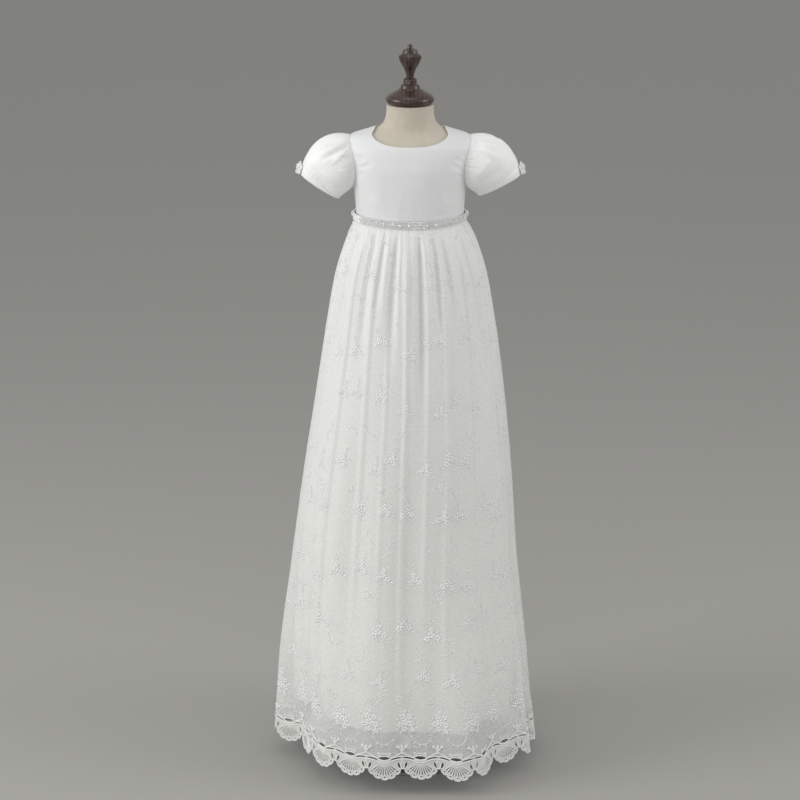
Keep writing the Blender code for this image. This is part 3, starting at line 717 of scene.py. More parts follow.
def buildFormTorso():
    heights = np.linspace(form["sections"][0][0], form["sections"][-1][0], form["rows"])
    heights = np.sort(np.concatenate([heights, np.linspace(*form["shoulderRows"])]))
    angle, height = np.meshgrid(np.linspace(-180, 180, form["columns"] + 1), heights)
    flat = np.stack([np.radians(angle) * form["usualRadius"], height], -1)
    torso = gridPiece("formTorso", torsoSurface(angle, height), flat)
    bpy.ops.object.mode_set(mode="EDIT")
    bpy.ops.mesh.select_all(action="SELECT")
    bpy.ops.mesh.remove_doubles(threshold=1e-6)
    bpy.ops.mesh.fill_holes(sides=0)
    bpy.ops.mesh.select_all(action="SELECT")
    bpy.ops.mesh.normals_make_consistent(inside=False)
    bpy.ops.object.mode_set(mode="OBJECT")
    torso.data.materials.append(finishes["jersey"])
    bpy.ops.object.shade_smooth_by_angle(angle=math.radians(40))
    finishPiece(torso, "jersey", "form_torso")


cap = {
    # radius and height up the turned profile
    "profile": [
        (0.0290, 1.0473), (0.0345, 1.0500), (0.0362, 1.0555), (0.0335, 1.0605), (0.0240, 1.0660),
        (0.0155, 1.0710), (0.0134, 1.0760), (0.0100, 1.0780), (0.0098, 1.0845), (0.0055, 1.0880),
        (0.0075, 1.0965), (0.0128, 1.1065), (0.0165, 1.1150), (0.0170, 1.1195), (0.0118, 1.1235),
        (0.0102, 1.1285), (0.0045, 1.1305), (0.0032, 1.1365),
    ],
    "turns": 56, "rings": 64,
}


def buildCap():
    radii, heights = zip(*cap["profile"])
    rows = np.unique(np.concatenate([np.linspace(heights[0], heights[-1], cap["rings"]), heights]))
    profile = list(zip(smoothTable(heights, radii, rows), rows))
    radius, height = profile[0]
    bpy.ops.mesh.primitive_circle_add(vertices=cap["turns"], radius=radius, fill_type="NGON", location=(0, 0, height))
    piece = bpy.context.object
    piece.name = "neckCap"
    bpy.ops.object.transform_apply(location=True, rotation=True, scale=True)
    bpy.ops.object.mode_set(mode="EDIT")
    bpy.ops.mesh.select_all(action="SELECT")
    for (r0, z0), (r1, z1) in zip(profile, profile[1:]):
        bpy.ops.mesh.extrude_region_move(TRANSFORM_OT_translate={"value": (0, 0, float(z1 - z0))})
        bpy.ops.transform.resize(value=(float(r1 / r0), float(r1 / r0), 1), center_override=(0, 0, float(z1)))
    bpy.ops.mesh.select_all(action="SELECT")
    bpy.ops.mesh.normals_make_consistent(inside=False)
    bpy.ops.object.mode_set(mode="OBJECT")
    piece.data.materials.append(finishes["walnut"])
    bpy.ops.object.shade_smooth_by_angle(angle=math.radians(35))
    finishPiece(piece, "walnut", "form_cap")


def finishStand():
    for node in ("form_base", "form_pole"):
        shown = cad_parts[node]
        shown.data.materials.clear()
        shown.data.materials.append(finishes["steel"])


buildFormTorso()
buildCap()
finishStand()
print("dress form built")


# Bodice

bodice = {
    "frontNeck": 0.9905, "backNeck": 1.0000, "neckSide": 1.0105,
    "shoulder": 0.9980, "armpit": 0.9225, "armholeReach": 21.0,
    "frontColumns": 112, "backColumns": 56, "sideRows": 18, "armholeRows": 44, "shoulderRows": 6,
    # x, height to x, height, width, depth
    "frontCreases": [
        (-0.0430, 0.9560, -0.0540, 0.8880, 0.0070, 0.0005), (-0.0300, 0.9300, -0.0360, 0.8840, 0.0060, -0.0005),
        (0.0300, 0.9500, 0.0450, 0.8860, 0.0060, -0.0006), (0.0400, 0.9480, 0.0560, 0.8840, 0.0055, 0.0006),
        (-0.0120, 0.9300, -0.0200, 0.8820, 0.0045, 0.0005), (0.0080, 0.9200, 0.0120, 0.8800, 0.0045, -0.0005),
        (-0.0875, 0.9723, -0.0660, 0.9770, 0.0024, -0.0011), (-0.0891, 0.9603, -0.0660, 0.9745, 0.0026, -0.0014),
        (-0.0876, 0.9527, -0.0580, 0.9670, 0.0028, -0.0015), (-0.0862, 0.9422, -0.0660, 0.9530, 0.0028, -0.0012),
        (0.0916, 0.9693, 0.0740, 0.9770, 0.0024, -0.0011), (0.0902, 0.9573, 0.0640, 0.9760, 0.0026, -0.0015),
        (0.0873, 0.9482, 0.0600, 0.9660, 0.0028, -0.0014), (0.0844, 0.9391, 0.0670, 0.9505, 0.0028, -0.0012),
        (-0.0620, 0.9120, -0.0300, 0.9010, 0.0050, 0.0006), (0.0640, 0.9100, 0.0380, 0.8990, 0.0050, 0.0006),
        (-0.0480, 0.8890, -0.0180, 0.8860, 0.0036, -0.0005), (0.0260, 0.8870, 0.0560, 0.8900, 0.0036, -0.0005),
        (-0.0560, 0.9880, -0.0480, 0.9620, 0.0060, 0.0004), (0.0540, 0.9880, 0.0500, 0.9600, 0.0060, 0.0004),
    ],
    "backCreases": [
        (-0.0200, 0.9700, -0.0420, 0.8860, 0.0055, -0.0008), (0.0220, 0.9660, 0.0480, 0.8880, 0.0055, -0.0009),
        (-0.0320, 0.9560, -0.0560, 0.8860, 0.0055, 0.0007), (0.0340, 0.9600, 0.0610, 0.8900, 0.0055, 0.0007),
        (-0.0880, 0.9640, -0.0660, 0.9750, 0.0024, -0.0009), (-0.0860, 0.9500, -0.0620, 0.9630, 0.0026, -0.0009),
        (0.0890, 0.9620, 0.0680, 0.9740, 0.0024, -0.0009), (0.0860, 0.9460, 0.0640, 0.9600, 0.0026, -0.0009),
        (-0.0060, 0.9300, -0.0300, 0.9240, 0.0040, 0.0005), (0.0060, 0.9100, 0.0280, 0.9060, 0.0040, 0.0005),
    ],
}


def neckHeight(angle, centre):
    return centre + (bodice["neckSide"] - centre) * np.sin(np.radians(angle)) ** 4


def armholeEdge(turn):
    # turn runs from 0 at the armpit to pi at the shoulder
    middle = (bodice["shoulder"] + bodice["armpit"]) / 2
    half = (bodice["shoulder"] - bodice["armpit"]) / 2
    return bodice["armholeReach"] * math.sin(turn), middle - half * math.cos(turn)


def sideEdge():
    # how far in from the side seam, and the height, of a panel's rows
    bottom = gown["waist"] + gown["seam"]
    rows = [(0.0, z) for z in np.linspace(bottom, bodice["armpit"], bodice["sideRows"] + 1)[:-1]]
    rows += [armholeEdge(turn) for turn in np.linspace(0, math.pi, bodice["armholeRows"] + 1)]
    rows += [(0.0, z) for z in np.linspace(bodice["shoulder"], bodice["neckSide"], bodice["shoulderRows"] + 1)[1:]]
    return rows


def bodiceGrid(centre, columns, angleAt, out):
    seam = math.degrees(gown["seam"] / 2 / form["sections"][5][1])
    bottom = gown["waist"] + gown["seam"]
    rows = []
    for inwards, edgeHeight in sideEdge():
        edge = 90 - max(inwards, seam)
        share = (edgeHeight - bottom) / (neckHeight(edge, centre) - bottom)
        angle = angleAt(edge, np.linspace(0, 1, columns + 1), seam)
        rows.append(onTorso(angle, bottom + (neckHeight(angle, centre) - bottom) * share, out))
    points = np.array([row[0] for row in rows])
    return points, np.array([row[1] for row in rows])


bodicePanels = {
    # name: node, neck and columns of the front or back, how a column's share of the panel turns into an angle
    "bodiceFront": ("bodice_front", "front", lambda edge, u, seam: edge * (2 * u - 1)),
    "bodiceBackRight": ("bodice_back_right", "back", lambda edge, u, seam: (180 - edge) + (edge - seam) * u),
    "bodiceBackLeft": ("bodice_back_left", "back", lambda edge, u, seam: (180 + seam) + (edge - seam) * u),
}
bodiceGrids = {}


def buildBodice():
    for name, (node, side, angleAt) in bodicePanels.items():
        grid, normals = bodiceGrid(bodice[side + "Neck"], bodice[side + "Columns"], angleAt, gown["ease"] + gown["satin"])
        # creases fade out at the panel's edges, where the seams hold the cloth
        rows, cols = grid.shape[:2]
        u, v = np.meshgrid(np.linspace(0, 1, cols), np.linspace(0, 1, rows))
        held = smoothStep(0, 0.05, u) * smoothStep(0, 0.05, 1 - u) * smoothStep(0, 0.03, v) * smoothStep(0, 0.03, 1 - v)
        moved = creased(grid, normals, bodice[side + "Creases"], side == "front")
        grid = grid + (moved - grid) * held[..., None]
        bodiceGrids[name] = grid
        panel = clothSheet(name, grid, gown["satin"], "satin", rim=0.3 * mm)
        finishPiece(panel, "satin", node)


buildBodice()
print("bodice built")


# Sleeves

sleeves = {
    # side, the cuff's tip and corner: x and height
    "left": (-1, 0.1640, 0.9410, 0.1068, 0.9040),
    "right": (1, 0.1660, 0.9405, 0.1030, 0.9085),
    "cuffHalfDepth": 0.0210, "armholeGap": 0.8 * mm,
    "crownLeaves": (0.0330, 0.0080), "crownArrives": (-0.0050, 0.0440),
    "underarmLeaves": (0.0060, -0.0050), "underarmArrives": (-0.0060, 0.0060),
    "puffDepth": (0.0190, 0.0150), "pleats": 7, "pleatDepth": 1.4 * mm,
    "rows": 58, "columns": 196, "hemShare": 0.915, "hemRise": 0.45 * mm,
    "fineGathers": 34,  # at the armhole, and as many at the cuff
    # x, height to x, height, width, depth
    "leftCreases": [
        (-0.0930, 0.9950, -0.1390, 0.9770, 0.0036, 0.0024), (-0.0960, 0.9880, -0.1330, 0.9680, 0.0034, -0.0024),
        (-0.0998, 0.9985, -0.1290, 0.9900, 0.0026, -0.0019), (-0.0940, 0.9830, -0.1180, 0.9620, 0.0030, 0.0014),
        (-0.1029, 0.9858, -0.0900, 0.9900, 0.0024, -0.0015), (-0.1050, 0.9760, -0.0880, 0.9700, 0.0026, -0.0014),
        (-0.1200, 0.9700, -0.0910, 0.9420, 0.0052, -0.0020), (-0.1330, 0.9520, -0.0960, 0.9270, 0.0052, 0.0016),
        (-0.1480, 0.9600, -0.1180, 0.9190, 0.0050, -0.0012), (-0.1560, 0.9640, -0.1360, 0.9230, 0.0046, 0.0010),
        (-0.1090, 0.9560, -0.0900, 0.9510, 0.0028, 0.0009),
    ],
    "rightCreases": [
        (0.0930, 0.9998, 0.1350, 0.9925, 0.0026, -0.0020), (0.0930, 0.9980, 0.1330, 0.9770, 0.0030, -0.0026),
        (0.0950, 0.9990, 0.1350, 0.9850, 0.0032, 0.0022), (0.0940, 0.9964, 0.1190, 0.9670, 0.0030, -0.0024),
        (0.0930, 0.9948, 0.1060, 0.9640, 0.0028, -0.0020), (0.1000, 0.9960, 0.1280, 0.9700, 0.0030, 0.0018),
        (0.1220, 0.9720, 0.0960, 0.9420, 0.0050, 0.0013), (0.1370, 0.9570, 0.1000, 0.9290, 0.0050, -0.0014),
        (0.1500, 0.9600, 0.1240, 0.9230, 0.0048, 0.0011), (0.1590, 0.9620, 0.1420, 0.9260, 0.0042, -0.0010),
    ],
}


def sleeveSurface(cuff, turn, along):
    # turn is 0 at the crown and grows to the front; along runs from the armhole to the cuff
    side, tipX, tipHeight, cornerX, cornerHeight = cuff
    middle = (bodice["shoulder"] + bodice["armpit"]) / 2
    half = (bodice["shoulder"] - bodice["armpit"]) / 2
    angle = 90 - bodice["armholeReach"] * np.sin(turn)
    start, _ = onTorso(angle, middle + half * np.cos(turn), gown["ease"] + gown["satin"] + sleeves["armholeGap"])
    centre = np.array([(tipX + cornerX) / 2, 0, (tipHeight + cornerHeight) / 2])
    toTip = np.array([tipX, 0, tipHeight]) - centre
    zero = np.zeros_like(turn)
    end = centre + toTip * np.cos(turn)[..., None] + np.stack([zero, -sleeves["cuffHalfDepth"] * np.sin(turn), zero], -1)
    crown = 0.5 + 0.5 * np.cos(turn)

    def handle(low, high, depth):
        outwards, upwards = (a + (b - a) * crown for a, b in zip(low, high))
        return np.stack([outwards, -depth * np.sin(turn), upwards], -1)

    first = start + handle(sleeves["underarmLeaves"], sleeves["crownLeaves"], sleeves["puffDepth"][0])
    last = end + handle(sleeves["underarmArrives"], sleeves["crownArrives"], sleeves["puffDepth"][1])
    a = along[..., None]
    point = start * (1 - a) ** 3 + first * 3 * a * (1 - a) ** 2 + last * 3 * a**2 * (1 - a) + end * a**3
    wave = np.cos(sleeves["pleats"] * turn) * crown**2 * np.sin(np.pi * np.minimum(1, 1.4 * along))
    outwards = (end - centre) / np.linalg.norm(end - centre, axis=-1, keepdims=True)
    point = point + outwards * (sleeves["pleatDepth"] * wave)[..., None]
    return point * np.array([side, 1, 1])


def gridNormals(grid, wrapped):
    if wrapped:
        padded = np.concatenate([grid[:, -3:-1], grid, grid[:, 1:3]], 1)
        across = np.gradient(padded, axis=1)[:, 2:-2]
    else:
        across = np.gradient(grid, axis=1)
    normal = np.cross(across, np.gradient(grid, axis=0))
    return normal / np.maximum(np.linalg.norm(normal, axis=-1, keepdims=True), 1e-12)


def sleeveGathers(turn, along, seed):
    # fine uneven pleats run out of the armhole seam over the crown, and shorter ones into the cuff's hem
    draw = random.Random(seed)
    depth = np.zeros(turn.shape)
    for i in range(sleeves["fineGathers"]):
        at = -2.3 + 4.6 * (i + draw.uniform(0.15, 0.85)) / sleeves["fineGathers"]
        width = draw.uniform(0.035, 0.075)
        deep = draw.uniform(0.4, 1.1) * mm
        reach = draw.uniform(0.22, 0.62)
        wave = 0.5 + 0.5 * np.cos(np.pi * np.clip(np.abs(turn - at) / width, 0, 1))
        depth -= deep * wave * smoothStep(0.0, 0.07, along) * (1 - smoothStep(0.1, reach, along))
    for i in range(sleeves["fineGathers"]):
        at = -3.1 + 6.2 * (i + draw.uniform(0.15, 0.85)) / sleeves["fineGathers"]
        width = draw.uniform(0.04, 0.08)
        deep = draw.uniform(0.2, 0.6) * mm
        wave = 0.5 + 0.5 * np.cos(np.pi * np.clip(np.abs(turn - at) / width, 0, 1))
        start = draw.uniform(0.62, 0.78)
        depth -= deep * wave * smoothStep(start, 0.89, along) * (1 - smoothStep(0.89, sleeves["hemShare"], along))
    return depth


sleeveGrids = {}


def buildSleeve(side, seed):
    cuff = sleeves[side]
    edge = sleeves["hemShare"]
    along = np.concatenate([np.linspace(0, edge, sleeves["rows"] - 8), np.linspace(edge + 0.006, 1, 8)])
    turn, along = np.meshgrid(np.linspace(-math.pi, math.pi, sleeves["columns"] + 1), along)
    if cuff[0] < 0:
        turn = turn[:, ::-1]
    grid = sleeveSurface(cuff, turn, along)
    normals = gridNormals(grid, True)
    held = smoothStep(0, 0.06, along) * (1 - smoothStep(edge - 0.03, edge, along))
    front = sleeves[side + "Creases"]
    # the back's creases are like the front's, a little turned
    back = [(x0 + 0.004 * cuff[0], z0 - 0.004, x1, z1 + 0.003, *rest) for x0, z0, x1, z1, *rest in front]
    moved = creased(creased(grid, normals, front, True), normals, back, False)
    grid = grid + (moved - grid) * held[..., None]
    grid = grid + normals * sleeveGathers(turn, along, seed)[..., None]
    grid = grid + normals * (sleeves["hemRise"] * smoothStep(edge, edge + 0.006, along))[..., None]
    grid[:, -1] = grid[:, 0]
    sleeveGrids[side] = grid
    # the sleeves take the satin's lighter copy, as painted light
    sleeve = clothSheet("sleeve" + side.capitalize(), grid, gown["satin"], "sleeveSatinPaintedLighter", closed=True, rim=0.3 * mm)
    finishPiece(sleeve, "satin", "sleeve_" + side)


buildSleeve("left", 5)
buildSleeve("right", 8)
print("sleeves built")


# Skirt

def hangingGrid(surface, first, bottom, columns, rows):
    seam = math.degrees(gown["seam"] / skirt["hang"][-1][1])
    # a third of the rows lie in the gathered part under the belt
    gathered, rest = np.linspace(0, 0.12, rows // 3), np.linspace(0.12, bottom, rows - rows // 3)
    drops = np.unique(np.concatenate([gathered, rest]))[::-1]
    angle, drop = np.meshgrid(np.linspace(first + seam, first + 180 - seam, columns + 1), drops)
    return movedOut(surface, angle, drop, np.zeros(angle.shape), downwards=True)[0]


def buildSkirt():
    for half, first in (("Front", -90), ("Back", 90)):
        lining = clothSheet(
            "underSkirt" + half, hangingGrid(liningSurface, first, skirt["liningBottom"], skirt["liningColumns"], 66),
            1.0 * mm, "lining", rim=0.2 * mm,
        )
        finishPiece(lining, "satin", "under_skirt_" + half.lower())
        net = clothSheet(
            "skirtNet" + half, hangingGrid(netSurface, first, skirt["netBottom"], skirt["columns"], 102),
            gown["net"], "tulle",
        )
        finishPiece(net, "net", "skirt_net_" + half.lower())


buildSkirt()
print("skirt built")


# Belt

belt = {
    "halfWidth": 0.0830, "halfDepth": 0.0700, "clear": 0.4 * mm, "below": 0.0040, "above": 0.0066, "columns": 240,
    "round": 0.489, "beadStep": 2.15 * mm, "beadRows": (-3.3, 5.9, 5), "bead": 1.12 * mm, "pearlShare": 0.45,
    "stones": 40, "stone": 2.1 * mm, "flowerBead": 1.75 * mm, "flowerRing": 3.1, "flowerHeight": 3.6,
}


def beltPoint(share, height, out):
    # share runs once round from the back, left side first
    t = 2 * np.pi * np.asarray(share, float)
    a, b = belt["halfWidth"] + belt["clear"] + out, belt["halfDepth"] + belt["clear"] + out
    return np.stack(np.broadcast_arrays(a * np.sin(t), -b * np.cos(t), gown["waist"] + height), -1)


def buildBeltRibbon():
    heights = np.linspace(-belt["below"], belt["above"], 12)
    share, height = np.meshgrid(np.linspace(-0.5, 0.5, belt["columns"] + 1), heights)
    swell = 0.3 * mm * np.cos(np.pi * (height - 1.3 * mm) / 10.6e-3)
    ribbon = clothSheet("beltRibbon", beltPoint(share, height, 1.0 * mm + swell), 0.9 * mm, "satin", closed=True)
    finishPiece(ribbon, "satin", "belt")


def plainBead(radius):
    bpy.ops.mesh.primitive_ico_sphere_add(subdivisions=1, radius=radius)
    return joinedMesh([bpy.context.object])


def cutStone(radius):
    # a round stone with a flat table and two rows of facets, in a low setting
    bpy.ops.mesh.primitive_cylinder_add(vertices=8, radius=radius, depth=0.9 * mm, location=(0, 0, 0.45 * mm))
    stone = bpy.context.object
    bpy.ops.object.mode_set(mode="EDIT")
    bpy.ops.mesh.select_all(action="DESELECT")
    bpy.ops.object.mode_set(mode="OBJECT")
    for face in stone.data.polygons:
        face.select = face.normal.z > 0.9
    bpy.ops.object.mode_set(mode="EDIT")
    bpy.ops.mesh.select_mode(type="FACE")
    bpy.ops.mesh.extrude_region_move(TRANSFORM_OT_translate={"value": (0, 0, 0.6 * mm)})
    bpy.ops.transform.resize(value=(0.78, 0.78, 1))
    bpy.ops.mesh.extrude_region_move(TRANSFORM_OT_translate={"value": (0, 0, 0.35 * mm)})
    bpy.ops.transform.resize(value=(0.66, 0.66, 1))
    bpy.ops.object.mode_set(mode="OBJECT")
    return joinedMesh([stone])


def setOnBelt(name, shape, places, finish, smooth):
    # places: share round, height, out, size
    flat, shapeFaces = shape
    points, faces, count = [], [], 0
    for share, height, out, size in places:
        t = 2 * math.pi * share
        origin = beltPoint(share, height, out)
        across = np.array([math.cos(t) * belt["halfWidth"], math.sin(t) * belt["halfDepth"], 0.0])
        across /= np.linalg.norm(across)
        up = np.array([0, 0, 1.0])
        facing = np.cross(across, up)
        points.append(origin + size * (flat[:, [0]] * across + flat[:, [1]] * up + flat[:, [2]] * facing))
        faces += [tuple(i + count for i in face) for face in shapeFaces]
        count += len(flat)
    piece = meshPiece(name, np.concatenate(points), faces, finish)
    if smooth:
        piece.data.shade_smooth()
    return finishPiece(piece, "beads")


def buildBeltBeads():
    draw = random.Random(3)
    pearls, crystals, stones, lumps = [], [], [], []
    count = int(belt["round"] / belt["beadStep"])
    for row, height in enumerate(np.linspace(*belt["beadRows"])):
        for i in range(count):
            share = (i + 0.5 * (row % 2) + draw.uniform(-0.12, 0.12)) / count
            up = (height + draw.uniform(-0.25, 0.25)) * mm
            bead = (share, up, (1.5 + draw.uniform(0, 0.35)) * mm, draw.uniform(0.88, 1.10))
            (pearls if draw.random() < belt["pearlShare"] else crystals).append(bead)
    for i in range(belt["stones"]):
        share = (i + draw.uniform(-0.1, 0.1)) / belt["stones"]
        stones.append((share, (1.3 + draw.uniform(-0.9, 0.9)) * mm, 2.0 * mm, draw.uniform(0.8, 1.05)))
    # a flower of pearls stands out at each side
    for side in (-0.25, 0.25):
        for k in range(6):
            t = 2 * math.pi * k / 6
            over, up = belt["flowerRing"] * math.sin(t), belt["flowerHeight"] + belt["flowerRing"] * math.cos(t)
            lumps.append((side + over * mm / belt["round"], up * mm, 3.0 * mm, 1.0))
        stones.append((side, belt["flowerHeight"] * mm, 3.4 * mm, 1.1))
    setOnBelt("beltPearls", plainBead(belt["bead"]), pearls, "pearl", True)
    setOnBelt("beltCrystals", plainBead(belt["bead"]), crystals, "crystal", False)
    setOnBelt("beltStones", cutStone(belt["stone"]), stones, "crystal", False)
    setOnBelt("beltFlowers", plainBead(belt["flowerBead"]), lumps, "pearl", True)


buildBeltRibbon()
buildBeltBeads()
print("belt built")


# Scalloped lace border

border = {
    "top": 0.800, "height": 0.050, "join": -87.1, "repeats": 11, "measuredAt": 0.825,
    "fanCentre": 20.0, "fanRadius": 30.2, "notchRadius": 26.4, "lobes": 5, "lobeAngle": 25.0, "junctionDown": 33.5,
    "crescent": (9.8, 26.6), "ribs": 10, "fanReach": 56, "slit": (7.5, 22.6), "ground": 0.9 * mm,
}


def ringOf(centreX, centreDown, across, down, tilt, count):
    t = math.radians(tilt)
    points = []
    for i in range(count):
        turn = 2 * math.pi * i / count
        x, y = across * math.cos(turn), down * math.sin(turn)
        points.append((centreX + x * math.cos(t) - y * math.sin(t), centreDown + x * math.sin(t) + y * math.cos(t)))
    return points


def fanEdge(degrees):
    # a point of the scalloped edge; degrees from straight down, in millimetres from the fan's middle line
    share = degrees / border["lobeAngle"]
    dip = abs(share - round(share)) * 2
    radius = border["notchRadius"] + (border["fanRadius"] - border["notchRadius"]) * math.sqrt(max(0.0, 1 - dip**2.6))
    t = math.radians(degrees)
    return radius * math.sin(t), border["fanCentre"] + radius * math.cos(t)


def scallopEdge(width):
    # from the left junction to the right one, x from the fan's middle
    half = width / 2
    points = [(-half, border["junctionDown"])]
    reach = border["lobes"] * border["lobeAngle"] / 2
    for i in range(61):
        point = fanEdge(-reach + 2 * reach * i / 60)
        if abs(point[0]) < half - 0.5:
            points.append(point)
    return points + [(half, border["junctionDown"])]


def fanPoint(radius, aside, t):
    x = radius * math.sin(t) + aside * math.cos(t)
    return x, border["fanCentre"] + radius * math.cos(t) - aside * math.sin(t)


def fanSlits():
    # tapered slits between the ribs, and a teardrop hole in each lobe
    holes = []
    count = border["ribs"]
    low, high = border["slit"]
    for i in range(count):
        t = math.radians(border["fanReach"] * (2 * (i + 0.5) / count - 1))
        ring = [(low, 0.0), (low + 4.0, 0.30), (high - 3.0, 0.68), (high - 0.8, 0.78), (high, 0.0)]
        outline = ring + [(r, -w) for r, w in ring[-2:0:-1]]
        holes.append([fanPoint(r, w, t) for r, w in outline])
    for lobe in range(border["lobes"]):
        t = math.radians((lobe - 2) * border["lobeAngle"])
        outline = []
        for k in range(8):
            turn = 2 * math.pi * k / 8
            outline.append((25.6 + 1.3 * math.cos(turn), 1.15 * math.sin(turn) * (1.25 + 0.5 * math.cos(turn))))
        holes.append([fanPoint(r, w, t) for r, w in outline])
    return holes


def swagLine(x):
    # the lower swag cord's place, down from the border's top
    rows = [(0, 23.0), (7, 21.4), (14, 18.6), (20, 17.3), (28.1, 17.0)]
    return float(smoothTable([row[0] for row in rows], [row[1] for row in rows], abs(x)))


def crescentGap(side):
    # the thin dark gap between the two swag cords, from beside the oval to the junction
    low, high = border["crescent"]
    upper, lower = [], []
    for i in range(9):
        x = low + (high - low) * i / 8
        middle = swagLine(x) - 2.2
        half = 1.45 * math.sin(math.pi * (0.08 + 0.84 * i / 8)) ** 0.6
        upper.append((side * x, middle - half))
        lower.append((side * x, middle + half))
    return upper + lower[::-1]


def insideRing(x, y, ring):
    hit = False
    for (x0, y0), (x1, y1) in zip(ring, ring[1:] + ring[:1]):
        if (y0 > y) != (y1 > y) and x < (x1 - x0) * (y - y0) / (y1 - y0) + x0:
            hit = not hit
    return hit


def flatRepeat(width):
    # one repeat of the lace's ground as flat triangles, with its gaps cut out: points (x, down) and faces
    half = width / 2
    holes = fanSlits()
    holes.append(ringOf(0, 15.5, 8.8, 3.0, 0, 20))
    for side in (-1, 1):
        holes.append(ringOf(side * 22.4, 26.4, 5.6, 1.7, side * 66, 14))
        holes.append(crescentGap(side))
    edge = scallopEdge(width)
    rim = [(x, 0.3) for x in np.linspace(half, -half, 29)]
    sides = [
        [(-half, y) for y in np.linspace(0.3, border["junctionDown"], 18)[1:-1]],
        [(half, y) for y in np.linspace(border["junctionDown"], 0.3, 18)[1:-1]],
    ]
    outline = edge + sides[1] + rim + sides[0]
    points, edges, loops = [], [], [outline] + holes
    for loop in loops:
        start = len(points)
        points += [Vector(p) for p in loop]
        edges += [(start + i, start + (i + 1) % len(loop)) for i in range(len(loop))]
    inner = [(x, y) for x in np.arange(-half + 1.6, half, 2.2) for y in np.arange(2.2, 50, 2.2)]
    for x, y in inner:
        if insideRing(x, y, outline) and not any(insideRing(x, y, hole) for hole in holes):
            if min(math.hypot(x - p[0], y - p[1]) for p in points) > 0.8:
                points.append(Vector((x, y)))
    found = delaunay_2d_cdt(points, edges, [], 0, 1e-4)
    flat, faces = found[0], []
    for face in found[2]:
        x = sum(flat[i][0] for i in face) / len(face)
        y = sum(flat[i][1] for i in face) / len(face)
        if insideRing(x, y, outline) and not any(insideRing(x, y, hole) for hole in holes):
            faces.append(tuple(face))
    sheer = [
        sum(flat[i][1] for i in face) / len(face) < swagLine(sum(flat[i][0] for i in face) / len(face)) - 4.3
        for face in faces
    ]
    return np.array([(p[0], p[1]) for p in flat]), faces, sheer


netCloth = LaidCloth(netSurface, 0.0, 0.8525)
print("cloth surfaces read")


def buildBorder(half, first):
    seam = gown["seam"] / 2
    startLength = netCloth.lengthAt(first, border["measuredAt"])
    width = (netCloth.lengthAt(first + 180, border["measuredAt"]) - startLength) / border["repeats"]
    flat, faces, sheer = flatRepeat(width / mm)
    points, allFaces, kinds, flatUv = [], [], [], []
    count = 0
    for repeat in range(border["repeats"]):
        x = startLength + (repeat + 0.5) * width + flat[:, 0] * mm
        x = np.clip(x, startLength + seam, startLength + width * border["repeats"] - seam)
        angle = netCloth.angleAt(x, border["measuredAt"])
        points.append(netCloth.at(angle, border["top"] + flat[:, 1] * mm, np.zeros(len(flat))))
        flatUv.append(np.stack([x, -flat[:, 1] * mm], -1))
        allFaces += [tuple(i + count for i in face) for face in faces]
        kinds += sheer
        count += len(flat)
    points, flatUv = np.concatenate(points), np.concatenate(flatUv)
    piece = meshPiece("hemBorder" + half, points, allFaces, "guipure")
    mesh = piece.data
    layUv(mesh.uv_layers.new(name="lace"), mesh, flatUv)
    mesh.materials.append(finishes["tulle"])
    mesh.polygons.foreach_set("material_index", [1 if kind else 0 for kind in kinds])
    selectOnly(piece)
    bpy.ops.object.mode_set(mode="EDIT")
    bpy.ops.mesh.select_all(action="SELECT")
    bpy.ops.mesh.remove_doubles(threshold=5e-5)
    bpy.ops.object.mode_set(mode="OBJECT")
    outwards = sum(1 if face.center.xy.dot(face.normal.xy) > 0 else -1 for face in list(mesh.polygons)[:200])
    if outwards < 0:
        bpy.ops.object.mode_set(mode="EDIT")
        bpy.ops.mesh.flip_normals()
        bpy.ops.object.mode_set(mode="OBJECT")
    wall = piece.modifiers.new("laceThickness", "SOLIDIFY")
    wall.thickness = border["ground"]
    wall.offset = -1.0
    applyAll(piece)
    bpy.ops.object.shade_smooth_by_angle(angle=math.radians(45))
    finishPiece(piece, "lace", "hem_border_" + half.lower())


buildBorder("Front", border["join"])
buildBorder("Back", border["join"] + 180)
print("hem border built")


